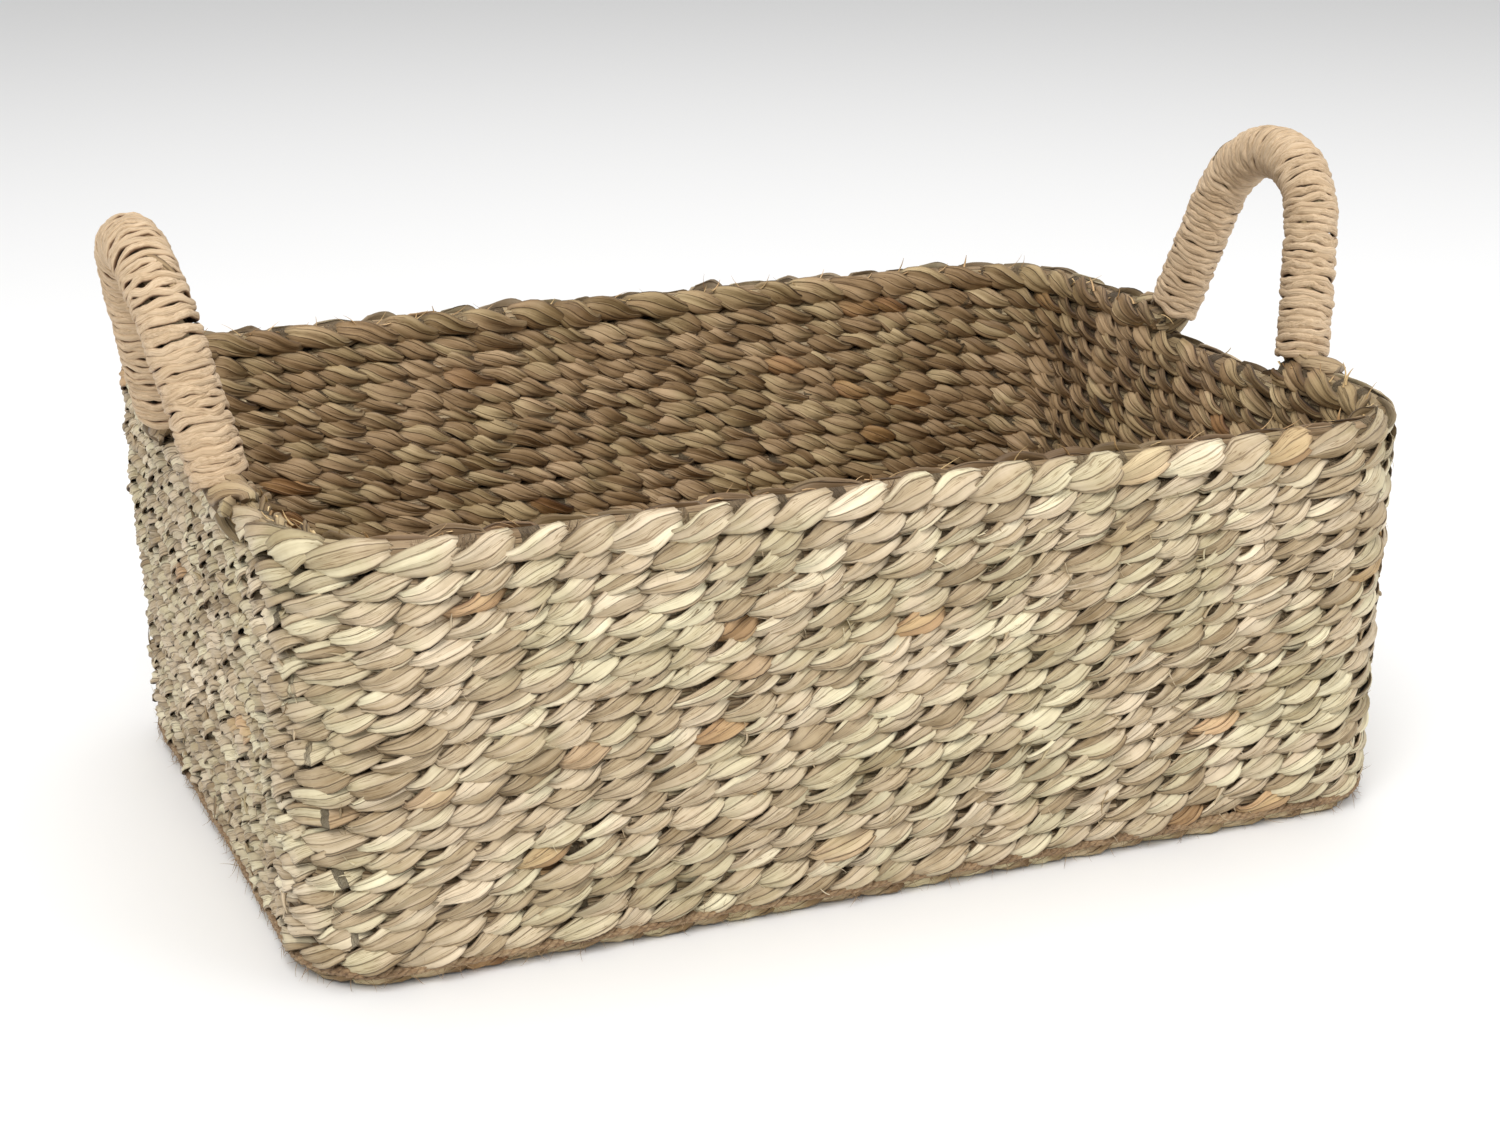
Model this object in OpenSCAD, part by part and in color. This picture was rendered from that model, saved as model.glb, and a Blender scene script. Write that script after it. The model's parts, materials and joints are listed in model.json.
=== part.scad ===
// Rectangular storage basket of plaited seagrass with two wrapped arched handles.
// The plait lies on edge and climbs turn on turn from the base to the rim.
// Frame: +Z up, +X along the length, origin at the middle of the underside.

/* [Basket] */
// Length over the rim, along X
rim_length = 400; // [384:2:420]
// Depth over the rim, along Y
rim_depth = 294; // [284:2:310]
// Length over the foot of the wall
foot_length = 392; // [380:2:396]
// Depth over the foot of the wall
foot_depth = 266; // [260:2:280]
// Outer corner radius at the rim
rim_corner = 47; // [40:1:52]
// Outer corner radius at the foot
foot_corner = 30; // [26:1:38]

/* [Plait] */
// Width of the plait on edge, which is the thickness of the wall
plait_width = 12; // [10:0.5:13]
// Height of one turn of the wall
row_height = 6.8; // [6.4:0.1:7.2]
// Height of the heavier turn that finishes the rim
rim_height = 10; // [10:0.5:12]
// Thickness of the base, whose turns lie flat side by side
base_thickness = 7; // [6:0.5:8]
// How far the base turns stay inside the foot of the wall
base_inset = 3; // [2:0.5:4]

/* [Handles] */
// Distance between the two feet of a handle
handle_spread = 92; // [86:2:98]
// How far the handles sit off the middle of the short walls
handle_offset = -14; // [-18:1:0]
// Tilt of each leg towards the other
leg_tilt = 16; // [12:1:18]
// Radius of the bend at the top of a handle
bend_radius = 33; // [30:1:36]
// Outward lean of a handle at rest
handle_lean = 12; // [4:1:14]
// Diameter over the raffia wrapping
wrap_diameter = 18.6; // [17:0.2:20]
// Diameter of the plait core inside the wrapping
core_diameter = 11; // [10:0.5:12]

/* [Cords] */
// Diameter of the lacing twine
twine_diameter = 1.6; // [1.4:0.1:1.8]
// Diameter of the jute cord laid in the seam at the foot
foot_cord_diameter = 2.8; // [2.4:0.1:3]

/* [Hidden] */
$fn = 48;
wall_rows = 19;
base_turns = 9;
row_rounding = 3.2;
rim_rounding = 4;

wall_top = base_thickness + wall_rows * row_height;
basket_height = wall_top + rim_height;
rim_middle = wall_top + rim_height / 2;

base_length = foot_length - 2 * base_inset;
base_depth = foot_depth - 2 * base_inset;
base_pitch = base_depth / 2 / (base_turns + 1);
tightest_corner = 3;

// Straight runs lap this far over a bend, and a bend is this much slimmer all round
lap = 0.3;
slimmer_bend = 0.05;

// Play round the twine, round a strand tail and at the end of a handle root
twine_play = 0.2;
tail_play = 0.1;
root_gap = 0.3;
cord_play = 0.1;

// A handle turns about the root barrels at its two feet
hinge_x = rim_length / 2 - 3;
hinge_z = rim_middle;
root_diameter = 9;
root_length = 19.4;
tail_diameter = 3;
tail_length = 9;
tail_anchor = 4;
tail_bore_depth = 10;
wrap_start = 7.7;
wrap_play = 0.1;
leg_length = (handle_spread / 2 - bend_radius * cos(leg_tilt)) / sin(leg_tilt);
bend_height = leg_length * cos(leg_tilt) - bend_radius * sin(leg_tilt);
rim_break = handle_spread / 2 + root_length / 2 + root_gap;

// Places of the lacing, and how far it stops short of the outer faces
lacing_x = [-135, -90, -45, 0, 45, 90, 135];
lacing_y_to_rim = [-96, 72, 96];
lacing_y_to_wall_top = [-36, 8];
lacing_start = 2.5;
lacing_stop = 3;
base_lacing_x = [-65, -20, 20, 65];
base_lacing_stop = 2;
side_twine_hold = 3;

straw = [0.80, 0.74, 0.57];
straw_base = [0.76, 0.68, 0.50];
raffia = [0.82, 0.70, 0.52];
jute = [0.52, 0.40, 0.27];

function two_digits(n) = str(n < 10 ? "0" : "", n);
function base_turn_name(n) = str("base_turn_", two_digits(n));
function wall_row_name(n) = str("wall_row_", two_digits(n));
function between(low, high, z) = low + (high - low) * z / basket_height;

// Outer size and corner radius of the basket at height z
function length_at(z) = between(foot_length, rim_length, z);
function depth_at(z) = between(foot_depth, rim_depth, z);
function corner_at(z) = between(foot_corner, rim_corner, z);

// Outer corner radius of base turn n, where turn 1 is the outermost
function base_corner_at(n) = max(foot_corner - base_inset - (n - 1) * base_pitch, tightest_corner);

module rounded_plate(length, depth, radius) {
    square([length - 2 * radius, depth], center = true);
    square([length, depth - 2 * radius], center = true);
    for (x = [-1, 1])
        for (y = [-1, 1])
            translate([x * (length / 2 - radius), y * (depth / 2 - radius)])
                circle(r = radius);
}

// The bends are a hair slimmer than the straight runs, which lap over their ends
module plait_section(height, rounding, slimmer = 0) {
    rounded_plate(plait_width - 2 * slimmer, height - 2 * slimmer, rounding - slimmer);
}

// A straight run along X at the front (side -1) or the back (side 1)
module long_run(z, side, height, rounding) {
    translate([0, side * (depth_at(z) - plait_width) / 2, z])
        rotate([90, 0, 90])
            linear_extrude(length_at(z) - 2 * corner_at(z) + 2 * lap, center = true)
                plait_section(height, rounding);
}

// A straight run along Y at the left (side -1) or the right (side 1), from y_low to y_high
module short_run(z, side, y_low, y_high, height, rounding) {
    translate([side * (length_at(z) - plait_width) / 2, y_high, z])
        rotate([90, 0, 0])
            linear_extrude(y_high - y_low)
                plait_section(height, rounding);
}

// A quarter bend at the corner towards side_x, side_y
module corner_run(z, side_x, side_y, height, rounding) {
    turn = side_y > 0 ? (side_x > 0 ? 0 : 90) : (side_x > 0 ? 270 : 180);
    shift_x = length_at(z) / 2 - corner_at(z);
    shift_y = depth_at(z) / 2 - corner_at(z);
    translate([side_x * shift_x, side_y * shift_y, z])
        rotate([0, 0, turn])
            rotate_extrude(angle = 90)
                translate([corner_at(z) - plait_width / 2, 0])
                    plait_section(height, rounding, slimmer_bend);
}

// One whole turn of plait round the basket at height z
module full_turn(z, height, rounding) {
    straight = depth_at(z) / 2 - corner_at(z) + lap;
    for (side = [-1, 1]) {
        long_run(z, side, height, rounding);
        short_run(z, side, -straight, straight, height, rounding);
        for (side_y = [-1, 1])
            corner_run(z, side, side_y, height, rounding);
    }
}

// Places one piece of twine up the middle of the wall, leaning with it
module along_front_and_back(side) {
    slope = atan((rim_depth - foot_depth) / 2 / basket_height);
    for (x = lacing_x)
        translate([x, side * (foot_depth - plait_width) / 2, 0])
            rotate([-side * slope, 0, 0])
                children();
}

module along_left_and_right(side, places) {
    slope = atan((rim_length - foot_length) / 2 / basket_height);
    for (y = places)
        translate([side * (foot_length - plait_width) / 2, y, 0])
            rotate([0, side * slope, 0])
                children();
}

module upright_twine(top, diameter) {
    translate([0, 0, lacing_start])
        cylinder(h = top - lacing_start, d = diameter);
}

module long_wall_lacing(side, diameter) {
    along_front_and_back(side)
        upright_twine(basket_height - lacing_stop, diameter);
}

module short_wall_lacing(side, diameter) {
    along_left_and_right(side, lacing_y_to_rim)
        upright_twine(basket_height - lacing_stop, diameter);
    along_left_and_right(side, lacing_y_to_wall_top)
        upright_twine(wall_top - lacing_stop, diameter);
}

module wall_bores() {
    for (side = [-1, 1]) {
        long_wall_lacing(side, twine_diameter + 2 * twine_play);
        short_wall_lacing(side, twine_diameter + 2 * twine_play);
    }
}

// The twine from each short side ends just inside the base's starting fold
module base_twines(diameter) {
    for (x = base_lacing_x)
        translate([x, 0, base_thickness / 2])
            rotate([90, 0, 0])
                cylinder(h = base_depth - 2 * base_lacing_stop, d = diameter, center = true);
    for (side = [-1, 1])
        translate([side * (base_length / 2 - base_lacing_stop), 0, base_thickness / 2])
            rotate([0, -side * 90, 0])
                cylinder(h = base_pitch * base_turns + side_twine_hold, d = diameter);
}

module base_bores() {
    base_twines(twine_diameter + 2 * twine_play);
}

module base_outline(n) {
    rounded_plate(
        base_length - 2 * (n - 1) * base_pitch,
        base_depth - 2 * (n - 1) * base_pitch,
        base_corner_at(n)
    );
}

// The plait is folded back on itself at the middle of the base
module base_start() {
    color(straw_base)
        difference() {
            linear_extrude(base_thickness)
                base_outline(base_turns + 1);
            base_bores();
        }
}

module base_turn(n) {
    color(straw_base)
        difference() {
            linear_extrude(base_thickness)
                difference() {
                    base_outline(n);
                    base_outline(n + 1);
                }
            base_bores();
            if (n == 1)
                wall_bores();
        }
}

module base_lacing() {
    color(jute)
        base_twines(twine_diameter);
}

// Jute cord tucked between the base's edge and the first wall row
module foot_cord() {
    radius = foot_cord_diameter / 2;
    row_middle = base_thickness + row_height / 2;
    out = radius + cord_play;
    in_row = max(
        length_at(row_middle) - base_length,
        depth_at(row_middle) - base_depth
    ) / 2 - row_rounding;
    reach = row_rounding + radius + cord_play;
    row_round_z = base_thickness + row_rounding;
    cord_z = row_round_z - sqrt(reach * reach - (out - in_row) * (out - in_row));
    path_length = base_length + 2 * out;
    path_depth = base_depth + 2 * out;
    bend = base_corner_at(1) + out;
    color(jute) {
        for (side = [-1, 1]) {
            translate([0, side * path_depth / 2, cord_z])
                rotate([0, 90, 0])
                    cylinder(h = path_length - 2 * bend + 2 * lap, r = radius, center = true);
            translate([side * path_length / 2, 0, cord_z])
                rotate([90, 0, 0])
                    cylinder(h = path_depth - 2 * bend + 2 * lap, r = radius, center = true);
        }
        for (turn = [0:3])
            translate([
                (turn == 0 || turn == 3 ? 1 : -1) * (path_length / 2 - bend),
                (turn < 2 ? 1 : -1) * (path_depth / 2 - bend),
                cord_z
            ])
                rotate([0, 0, 90 * turn])
                    rotate_extrude(angle = 90)
                        translate([bend, 0])
                            circle(r = radius - slimmer_bend);
    }
}

module wall_row(n) {
    color(straw)
        difference() {
            full_turn(base_thickness + (n - 0.5) * row_height, row_height, row_rounding);
            wall_bores();
        }
}

// A rim plait runs round one long side and stops at the near foot of each handle,
// where a tail of its strands goes on into the handle's root
module rim_half(side) {
    bend_end = side * (depth_at(rim_middle) / 2 - corner_at(rim_middle) + lap);
    stop = handle_offset + side * rim_break;
    low = min(stop, bend_end);
    high = max(stop, bend_end);
    color(straw)
        difference() {
            union() {
                long_run(rim_middle, side, rim_height, rim_rounding);
                for (side_x = [-1, 1]) {
                    corner_run(rim_middle, side_x, side, rim_height, rim_rounding);
                    short_run(rim_middle, side_x, low, high, rim_height, rim_rounding);
                    translate([side_x * hinge_x, stop + side * tail_anchor, hinge_z])
                        rotate([side * 90, 0, 0])
                            cylinder(h = tail_anchor + root_gap + tail_length, d = tail_diameter);
                }
            }
            wall_bores();
        }
}

module rim_front() {
    rim_half(-1);
}

module rim_back() {
    rim_half(1);
}

module lacing_front() {
    color(jute)
        long_wall_lacing(-1, twine_diameter);
}

module lacing_back() {
    color(jute)
        long_wall_lacing(1, twine_diameter);
}

module lacing_left() {
    color(jute)
        short_wall_lacing(-1, twine_diameter);
}

module lacing_right() {
    color(jute)
        short_wall_lacing(1, twine_diameter);
}

// Places a handle's parts at the left (side -1) or the right (side 1)
module at_handle(side) {
    translate([side * hinge_x, handle_offset, hinge_z])
        rotate([0, side * handle_lean, 0])
            children();
}

// A ring section with a bore, or a plain round one where the bore is 0
module ring_section(outer, bore, slimmer = 0) {
    difference() {
        circle(d = outer - 2 * slimmer);
        if (bore > 0)
            circle(d = bore + 2 * slimmer);
    }
}

// Sweeps a ring section up one leg, over the bend and down the other leg
module arch(start, outer, bore) {
    for (side = [-1, 1])
        translate([0, side * handle_spread / 2, 0])
            rotate([side * leg_tilt, 0, 0])
                translate([0, 0, start])
                    linear_extrude(leg_length - start + lap)
                        ring_section(outer, bore);
    translate([0, 0, bend_height])
        rotate([90, 0, 90])
            rotate([0, 0, leg_tilt])
                rotate_extrude(angle = 180 - 2 * leg_tilt)
                    translate([bend_radius, 0])
                        ring_section(outer, bore, slimmer_bend);
}

module handle_core(side) {
    color(straw)
        at_handle(side)
            difference() {
                union() {
                    arch(0, core_diameter, 0);
                    for (foot = [-1, 1])
                        translate([0, foot * handle_spread / 2, 0])
                            rotate([90, 0, 0])
                                cylinder(h = root_length, d = root_diameter, center = true);
                }
                for (foot = [-1, 1])
                    translate([0, foot * (handle_spread + root_length) / 2, 0])
                        rotate([foot * 90, 0, 0])
                            cylinder(h = tail_bore_depth, d = tail_diameter + 2 * tail_play);
            }
}

module handle_wrap(side) {
    color(raffia)
        at_handle(side)
            arch(wrap_start, wrap_diameter, core_diameter + 2 * wrap_play);
}

module handle_core_left() {
    handle_core(-1);
}

module handle_core_right() {
    handle_core(1);
}

module handle_wrap_left() {
    handle_wrap(-1);
}

module handle_wrap_right() {
    handle_wrap(1);
}

base_start();
for (n = [1:base_turns])
    base_turn(n);
base_lacing();
foot_cord();
for (n = [1:wall_rows])
    wall_row(n);
rim_front();
rim_back();
lacing_front();
lacing_back();
lacing_left();
lacing_right();
handle_core_left();
handle_core_right();
handle_wrap_left();
handle_wrap_right();
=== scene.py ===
"""Looks of a plaited seagrass storage basket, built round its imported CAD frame."""

from __future__ import annotations

import json
import logging
import math
from dataclasses import dataclass, field, fields
from enum import Enum

import bpy
from mathutils import Matrix, Vector
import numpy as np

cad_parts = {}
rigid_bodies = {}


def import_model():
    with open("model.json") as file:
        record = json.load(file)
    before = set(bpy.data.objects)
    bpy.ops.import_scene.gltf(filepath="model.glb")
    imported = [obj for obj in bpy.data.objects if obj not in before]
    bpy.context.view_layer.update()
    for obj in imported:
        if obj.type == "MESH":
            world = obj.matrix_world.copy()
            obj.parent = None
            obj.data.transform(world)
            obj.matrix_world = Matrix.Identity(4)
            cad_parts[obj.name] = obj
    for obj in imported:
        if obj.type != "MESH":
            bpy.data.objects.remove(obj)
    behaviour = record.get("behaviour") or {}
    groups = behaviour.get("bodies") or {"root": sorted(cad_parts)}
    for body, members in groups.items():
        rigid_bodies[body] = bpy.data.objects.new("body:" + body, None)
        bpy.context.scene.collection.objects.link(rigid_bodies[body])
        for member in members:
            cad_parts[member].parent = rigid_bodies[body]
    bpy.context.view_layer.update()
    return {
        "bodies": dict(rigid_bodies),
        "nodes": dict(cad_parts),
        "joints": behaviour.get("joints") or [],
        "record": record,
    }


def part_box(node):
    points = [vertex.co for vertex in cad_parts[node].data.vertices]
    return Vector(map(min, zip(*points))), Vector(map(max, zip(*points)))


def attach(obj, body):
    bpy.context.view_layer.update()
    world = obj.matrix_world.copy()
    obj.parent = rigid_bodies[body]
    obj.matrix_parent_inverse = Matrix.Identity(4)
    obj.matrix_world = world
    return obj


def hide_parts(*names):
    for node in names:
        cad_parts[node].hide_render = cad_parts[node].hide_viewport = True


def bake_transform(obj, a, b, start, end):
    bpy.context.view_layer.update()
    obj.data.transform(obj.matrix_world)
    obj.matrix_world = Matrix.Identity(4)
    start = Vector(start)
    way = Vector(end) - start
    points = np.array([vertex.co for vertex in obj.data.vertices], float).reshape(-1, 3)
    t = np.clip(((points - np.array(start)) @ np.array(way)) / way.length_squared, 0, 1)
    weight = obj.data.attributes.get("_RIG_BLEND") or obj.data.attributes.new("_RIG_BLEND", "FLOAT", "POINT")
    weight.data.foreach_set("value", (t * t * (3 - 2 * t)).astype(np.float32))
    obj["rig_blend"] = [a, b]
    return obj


LOG = logging.getLogger("basket")
TAU = 2 * math.pi
STRANDS = 3
FLOOR_GAP = 0.0002
"""Least height over the floor at which a loose fibre ends, in metres."""
CORNER_STEPS = 12
"""Steps that a path takes round a quarter turn."""
RING_RADIUS = 0.001
"""Radius of the rings that a section is shaped from; only their angles matter."""
WHITE = (1.0, 1.0, 1.0)


class Side(Enum):
    """The two ends of the basket that carry a handle."""

    LEFT = -1
    RIGHT = 1


class Kind(Enum):
    """The kinds of value that a node tree passes on."""

    NUMBER = "FLOAT"
    VECTOR = "FLOAT_VECTOR"


# ---------------------------------------------------------------------------
# Node trees written as formulas
# ---------------------------------------------------------------------------


class Value:
    """A number or vector that a node tree works out, used as in a formula."""

    def __init__(self, tree: bpy.types.NodeTree, socket: bpy.types.NodeSocket) -> None:
        """Wraps one output socket.

        Args:
            tree: The tree that the socket belongs to.
            socket: The output that holds the value.
        """
        self.tree = tree
        self.socket = socket

    def _math(self, operation: str, *others: "Value | float") -> "Value":
        """Joins this number to others in one Math node.

        Args:
            operation: Blender's name of the operation.
            others: The other operands.

        Returns:
            The result.
        """
        node = self.tree.nodes.new("ShaderNodeMath")
        node.operation = operation
        self.tree.links.new(self.socket, node.inputs[0])
        for place, other in enumerate(others, 1):
            feed(self.tree, node.inputs[place], other)
        return Value(self.tree, node.outputs[0])

    def __add__(self, other: "Value | float") -> "Value":
        """Sum."""
        return self._math("ADD", other)

    def __sub__(self, other: "Value | float") -> "Value":
        """Difference."""
        return self._math("SUBTRACT", other)

    def __mul__(self, other: "Value | float") -> "Value":
        """Product."""
        return self._math("MULTIPLY", other)

    def __truediv__(self, other: "Value | float") -> "Value":
        """Quotient."""
        return self._math("DIVIDE", other)

    def __pow__(self, other: "Value | float") -> "Value":
        """Power."""
        return self._math("POWER", other)

    def sin(self) -> "Value":
        """Sine."""
        return self._math("SINE")

    def cos(self) -> "Value":
        """Cosine."""
        return self._math("COSINE")

    def size(self) -> "Value":
        """Absolute value."""
        return self._math("ABSOLUTE")

    def floor(self) -> "Value":
        """The whole number below."""
        return self._math("FLOOR")

    def part(self) -> "Value":
        """What is above the whole number below."""
        return self._math("FRACT")

    def most(self, other: "Value | float") -> "Value":
        """The larger of two numbers."""
        return self._math("MAXIMUM", other)

    def least(self, other: "Value | float") -> "Value":
        """The smaller of two numbers."""
        return self._math("MINIMUM", other)

    def bent(self, low: float, high: float) -> "Value":
        """Runs smoothly from 0 at low to 1 at high.

        Args:
            low: Where the result is 0.
            high: Where the result is 1.

        Returns:
            The smoothed number.
        """
        node = self.tree.nodes.new("ShaderNodeMapRange")
        node.interpolation_type = "SMOOTHSTEP"
        self.tree.links.new(self.socket, node.inputs["Value"])
        node.inputs["From Min"].default_value = low
        node.inputs["From Max"].default_value = high
        return Value(self.tree, node.outputs["Result"])


class Arrow(Value):
    """A vector that a node tree works out."""

    def _vector(self, operation: str, *others: "Arrow | tuple") -> "Arrow":
        """Joins this vector to others in one Vector Math node.

        Args:
            operation: Blender's name of the operation.
            others: The other operands.

        Returns:
            The resulting vector.
        """
        node = self.tree.nodes.new("ShaderNodeVectorMath")
        node.operation = operation
        self.tree.links.new(self.socket, node.inputs[0])
        for place, other in enumerate(others, 1):
            feed(self.tree, node.inputs[place], other)
        return Arrow(self.tree, node.outputs["Vector"])

    def __add__(self, other: "Arrow | tuple") -> "Arrow":
        """Sum."""
        return self._vector("ADD", other)

    def __sub__(self, other: "Arrow | tuple") -> "Arrow":
        """Difference."""
        return self._vector("SUBTRACT", other)

    def __mul__(self, factor: "Value | float") -> "Arrow":
        """The vector made longer or shorter by a number."""
        node = self.tree.nodes.new("ShaderNodeVectorMath")
        node.operation = "SCALE"
        self.tree.links.new(self.socket, node.inputs[0])
        feed(self.tree, node.inputs["Scale"], factor)
        return Arrow(self.tree, node.outputs["Vector"])

    def times(self, factors: tuple[float, float, float]) -> "Arrow":
        """The vector with each of its parts multiplied."""
        return self._vector("MULTIPLY", factors)

    def cross(self, other: "Arrow | tuple") -> "Arrow":
        """Cross product."""
        return self._vector("CROSS_PRODUCT", other)

    def unit(self) -> "Arrow":
        """The vector at length 1."""
        return self._vector("NORMALIZE")

    def dot(self, other: "Arrow | tuple") -> Value:
        """Dot product."""
        node = self.tree.nodes.new("ShaderNodeVectorMath")
        node.operation = "DOT_PRODUCT"
        self.tree.links.new(self.socket, node.inputs[0])
        feed(self.tree, node.inputs[1], other)
        return Value(self.tree, node.outputs["Value"])

    def parts(self) -> tuple[Value, Value, Value]:
        """The vector's three parts."""
        node = self.tree.nodes.new("ShaderNodeSeparateXYZ")
        self.tree.links.new(self.socket, node.inputs[0])
        return tuple(Value(self.tree, out) for out in node.outputs)


def feed(tree: bpy.types.NodeTree, socket: bpy.types.NodeSocket, given: object) -> None:
    """Links a value to an input, or sets a plain one on it.

    Args:
        tree: The tree that holds the input.
        socket: The input.
        given: A Value, a socket, or a plain number, vector or name.
    """
    if isinstance(given, Value):
        tree.links.new(given.socket, socket)
    elif isinstance(given, bpy.types.NodeSocket):
        tree.links.new(given, socket)
    elif given is not None:
        socket.default_value = given


def mixed(amount: Value, low: "Value | float", high: "Value | float") -> Value:
    """Runs from low to high as amount goes from 0 to 1.

    Args:
        amount: A number from 0 to 1.
        low: The result at 0.
        high: The result at 1.

    Returns:
        The mixed number.
    """
    span = high - low
    return amount * span + low


def open_socket(sockets: object, name: str) -> bpy.types.NodeSocket:
    """Finds the enabled socket with a name, among those of every data type."""
    return next(s for s in sockets if s.name == name and s.enabled)


class Formulas:
    """What node trees of both kinds offer to the formulas in them.

    Attributes:
        tree: The tree that the formulas add nodes to.
    """

    tree: bpy.types.NodeTree

    def vector(self, x: object, y: object, z: object) -> Arrow:
        """Joins three numbers to a vector."""
        node = self.tree.nodes.new("ShaderNodeCombineXYZ")
        for socket, given in zip(node.inputs, (x, y, z)):
            feed(self.tree, socket, given)
        return Arrow(self.tree, node.outputs[0])


class ShapeTree(Formulas):
    """A Geometry Nodes tree whose sizes are named inputs."""

    def __init__(self, name: str) -> None:
        """Starts an empty tree.

        Args:
            name: What the tree makes.
        """
        self.tree = bpy.data.node_groups.new(name, "GeometryNodeTree")
        self.tree.interface.new_socket("Geometry", in_out="INPUT", socket_type="NodeSocketGeometry")
        self.tree.interface.new_socket("Geometry", in_out="OUTPUT", socket_type="NodeSocketGeometry")
        self.entry = self.tree.nodes.new("NodeGroupInput")
        self.exit = self.tree.nodes.new("NodeGroupOutput")

    def size(self, name: str, default: float) -> Value:
        """Adds a named number that the modifier can set.

        Args:
            name: The input's name.
            default: Its value where none is set.

        Returns:
            The input as a value.
        """
        whole = isinstance(default, int)
        item = self.tree.interface.new_socket(
            name, in_out="INPUT", socket_type="NodeSocketInt" if whole else "NodeSocketFloat"
        )
        item.default_value = default
        return Value(self.tree, self.entry.outputs[name])

    def direction(self, name: str, default: tuple[float, float, float]) -> Arrow:
        """Adds a named vector that the modifier can set."""
        item = self.tree.interface.new_socket(name, in_out="INPUT", socket_type="NodeSocketVector")
        item.default_value = default
        return Arrow(self.tree, self.entry.outputs[name])

    def node(self, kind: str, settings: dict | None = None, **inputs: object) -> bpy.types.Node:
        """Adds a node.

        Args:
            kind: Blender's name of the node.
            settings: Properties to set before the inputs.
            inputs: Values for its inputs, by name with _ for a space.

        Returns:
            The node.
        """
        made = self.tree.nodes.new(kind)
        for key, setting in (settings or {}).items():
            setattr(made, key, setting)
        for key, given in inputs.items():
            feed(self.tree, open_socket(made.inputs, key.replace("_", " ")), given)
        return made

    def store(self, geometry: object, name: str, value: Value | float) -> bpy.types.NodeSocket:
        """Keeps a value on each point under a name.

        Args:
            geometry: The socket that holds the points.
            name: The attribute's name.
            value: What to keep.

        Returns:
            The geometry with the attribute.
        """
        kind = Kind.VECTOR if isinstance(value, Arrow) else Kind.NUMBER
        made = self.node(
            "GeometryNodeStoreNamedAttribute",
            {"data_type": kind.value, "domain": "POINT"},
            Geometry=geometry,
            Name=name,
            Value=value,
        )
        return made.outputs["Geometry"]

    def marks(self, geometry: object, **values: Value | float) -> bpy.types.NodeSocket:
        """Keeps several values on each point, each under its own name.

        Args:
            geometry: The socket that holds the points.
            values: What to keep, by name.

        Returns:
            The geometry with the attributes.
        """
        for name, value in values.items():
            geometry = self.store(geometry, name, value)
        return geometry

    def kept(self, name: str, kind: Kind = Kind.NUMBER) -> Value:
        """Reads a value that store() kept.

        Args:
            name: The attribute's name.
            kind: Whether it is a number or a vector.

        Returns:
            The value.
        """
        made = self.node("GeometryNodeInputNamedAttribute", {"data_type": kind.value}, Name=name)
        out = open_socket(made.outputs, "Attribute")
        return Arrow(self.tree, out) if kind is Kind.VECTOR else Value(self.tree, out)

    def position(self) -> Arrow:
        """Where each point is."""
        return Arrow(self.tree, self.node("GeometryNodeInputPosition").outputs[0])

    def tangent(self) -> Arrow:
        """The direction of the curve at each point."""
        return Arrow(self.tree, self.node("GeometryNodeInputTangent").outputs[0])

    def along(self, what: str = "Factor") -> Value:
        """How far each point is along its curve, as a share or, with Length, in metres."""
        return Value(self.tree, self.node("GeometryNodeSplineParameter").outputs[what])

    def curve(self, count: Value) -> bpy.types.NodeSocket:
        """The edges that the tree is given, as a curve with this many even points."""
        rough = self.node("GeometryNodeMeshToCurve", Mesh=self.entry.outputs["Geometry"])
        even = self.node("GeometryNodeResampleCurve", Curve=rough.outputs[0], Count=count)
        return even.outputs[0]

    def sides(self, face: Arrow | tuple) -> tuple[Arrow, Arrow]:
        """The two directions across a curve.

        Args:
            face: The direction that the curve's upper face looks in.

        Returns:
            The direction towards the outer edge and the one towards the upper face.
        """
        run = self.tangent()
        out = run.cross(face).unit()
        return out, out.cross(run).unit()

    def strands(self, line: bpy.types.NodeSocket) -> tuple[bpy.types.NodeSocket, Value]:
        """Copies a line for each strand.

        Args:
            line: The line.

        Returns:
            The copies and the number of each.
        """
        copies = self.node(
            "GeometryNodeDuplicateElements", {"domain": "SPLINE"}, Geometry=line, Amount=STRANDS
        )
        return copies.outputs["Geometry"], Value(self.tree, copies.outputs["Duplicate Index"])

    def blades(self, line: bpy.types.NodeSocket, lean: Arrow, roll: Value) -> bpy.types.NodeSocket:
        """Keeps the directions of a blade on a line: _normal off its broad side, _side along it.

        Args:
            line: The blade's middle line.
            lean: Roughly where the broad side looks.
            roll: How far the blade is rolled about its line, in radians.

        Returns:
            The line with the directions.
        """
        run = self.tangent()
        normal = (lean - run * lean.dot(run)).unit()
        side = run.cross(normal).unit()
        return self.marks(
            line,
            _centre=self.position(),
            _normal=normal * roll.cos() + side * roll.sin(),
            _side=side * roll.cos() - normal * roll.sin(),
            along=self.along("Length"),
        )

    def tube(self, line: bpy.types.NodeSocket, corners: int, caps: bool) -> bpy.types.NodeSocket:
        """Joins rings of points along a line; each point keeps its angle as _turn.

        Args:
            line: The line.
            corners: Points in a ring.
            caps: Whether the ends are closed.

        Returns:
            The tube.
        """
        ring = self.node("GeometryNodeCurvePrimitiveCircle", Resolution=corners, Radius=RING_RADIUS)
        turned = self.store(ring.outputs["Curve"], "_turn", self.along() * TAU)
        tube = self.node("GeometryNodeCurveToMesh", Curve=line, Profile_Curve=turned, Fill_Caps=caps)
        return tube.outputs["Mesh"]

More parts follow.
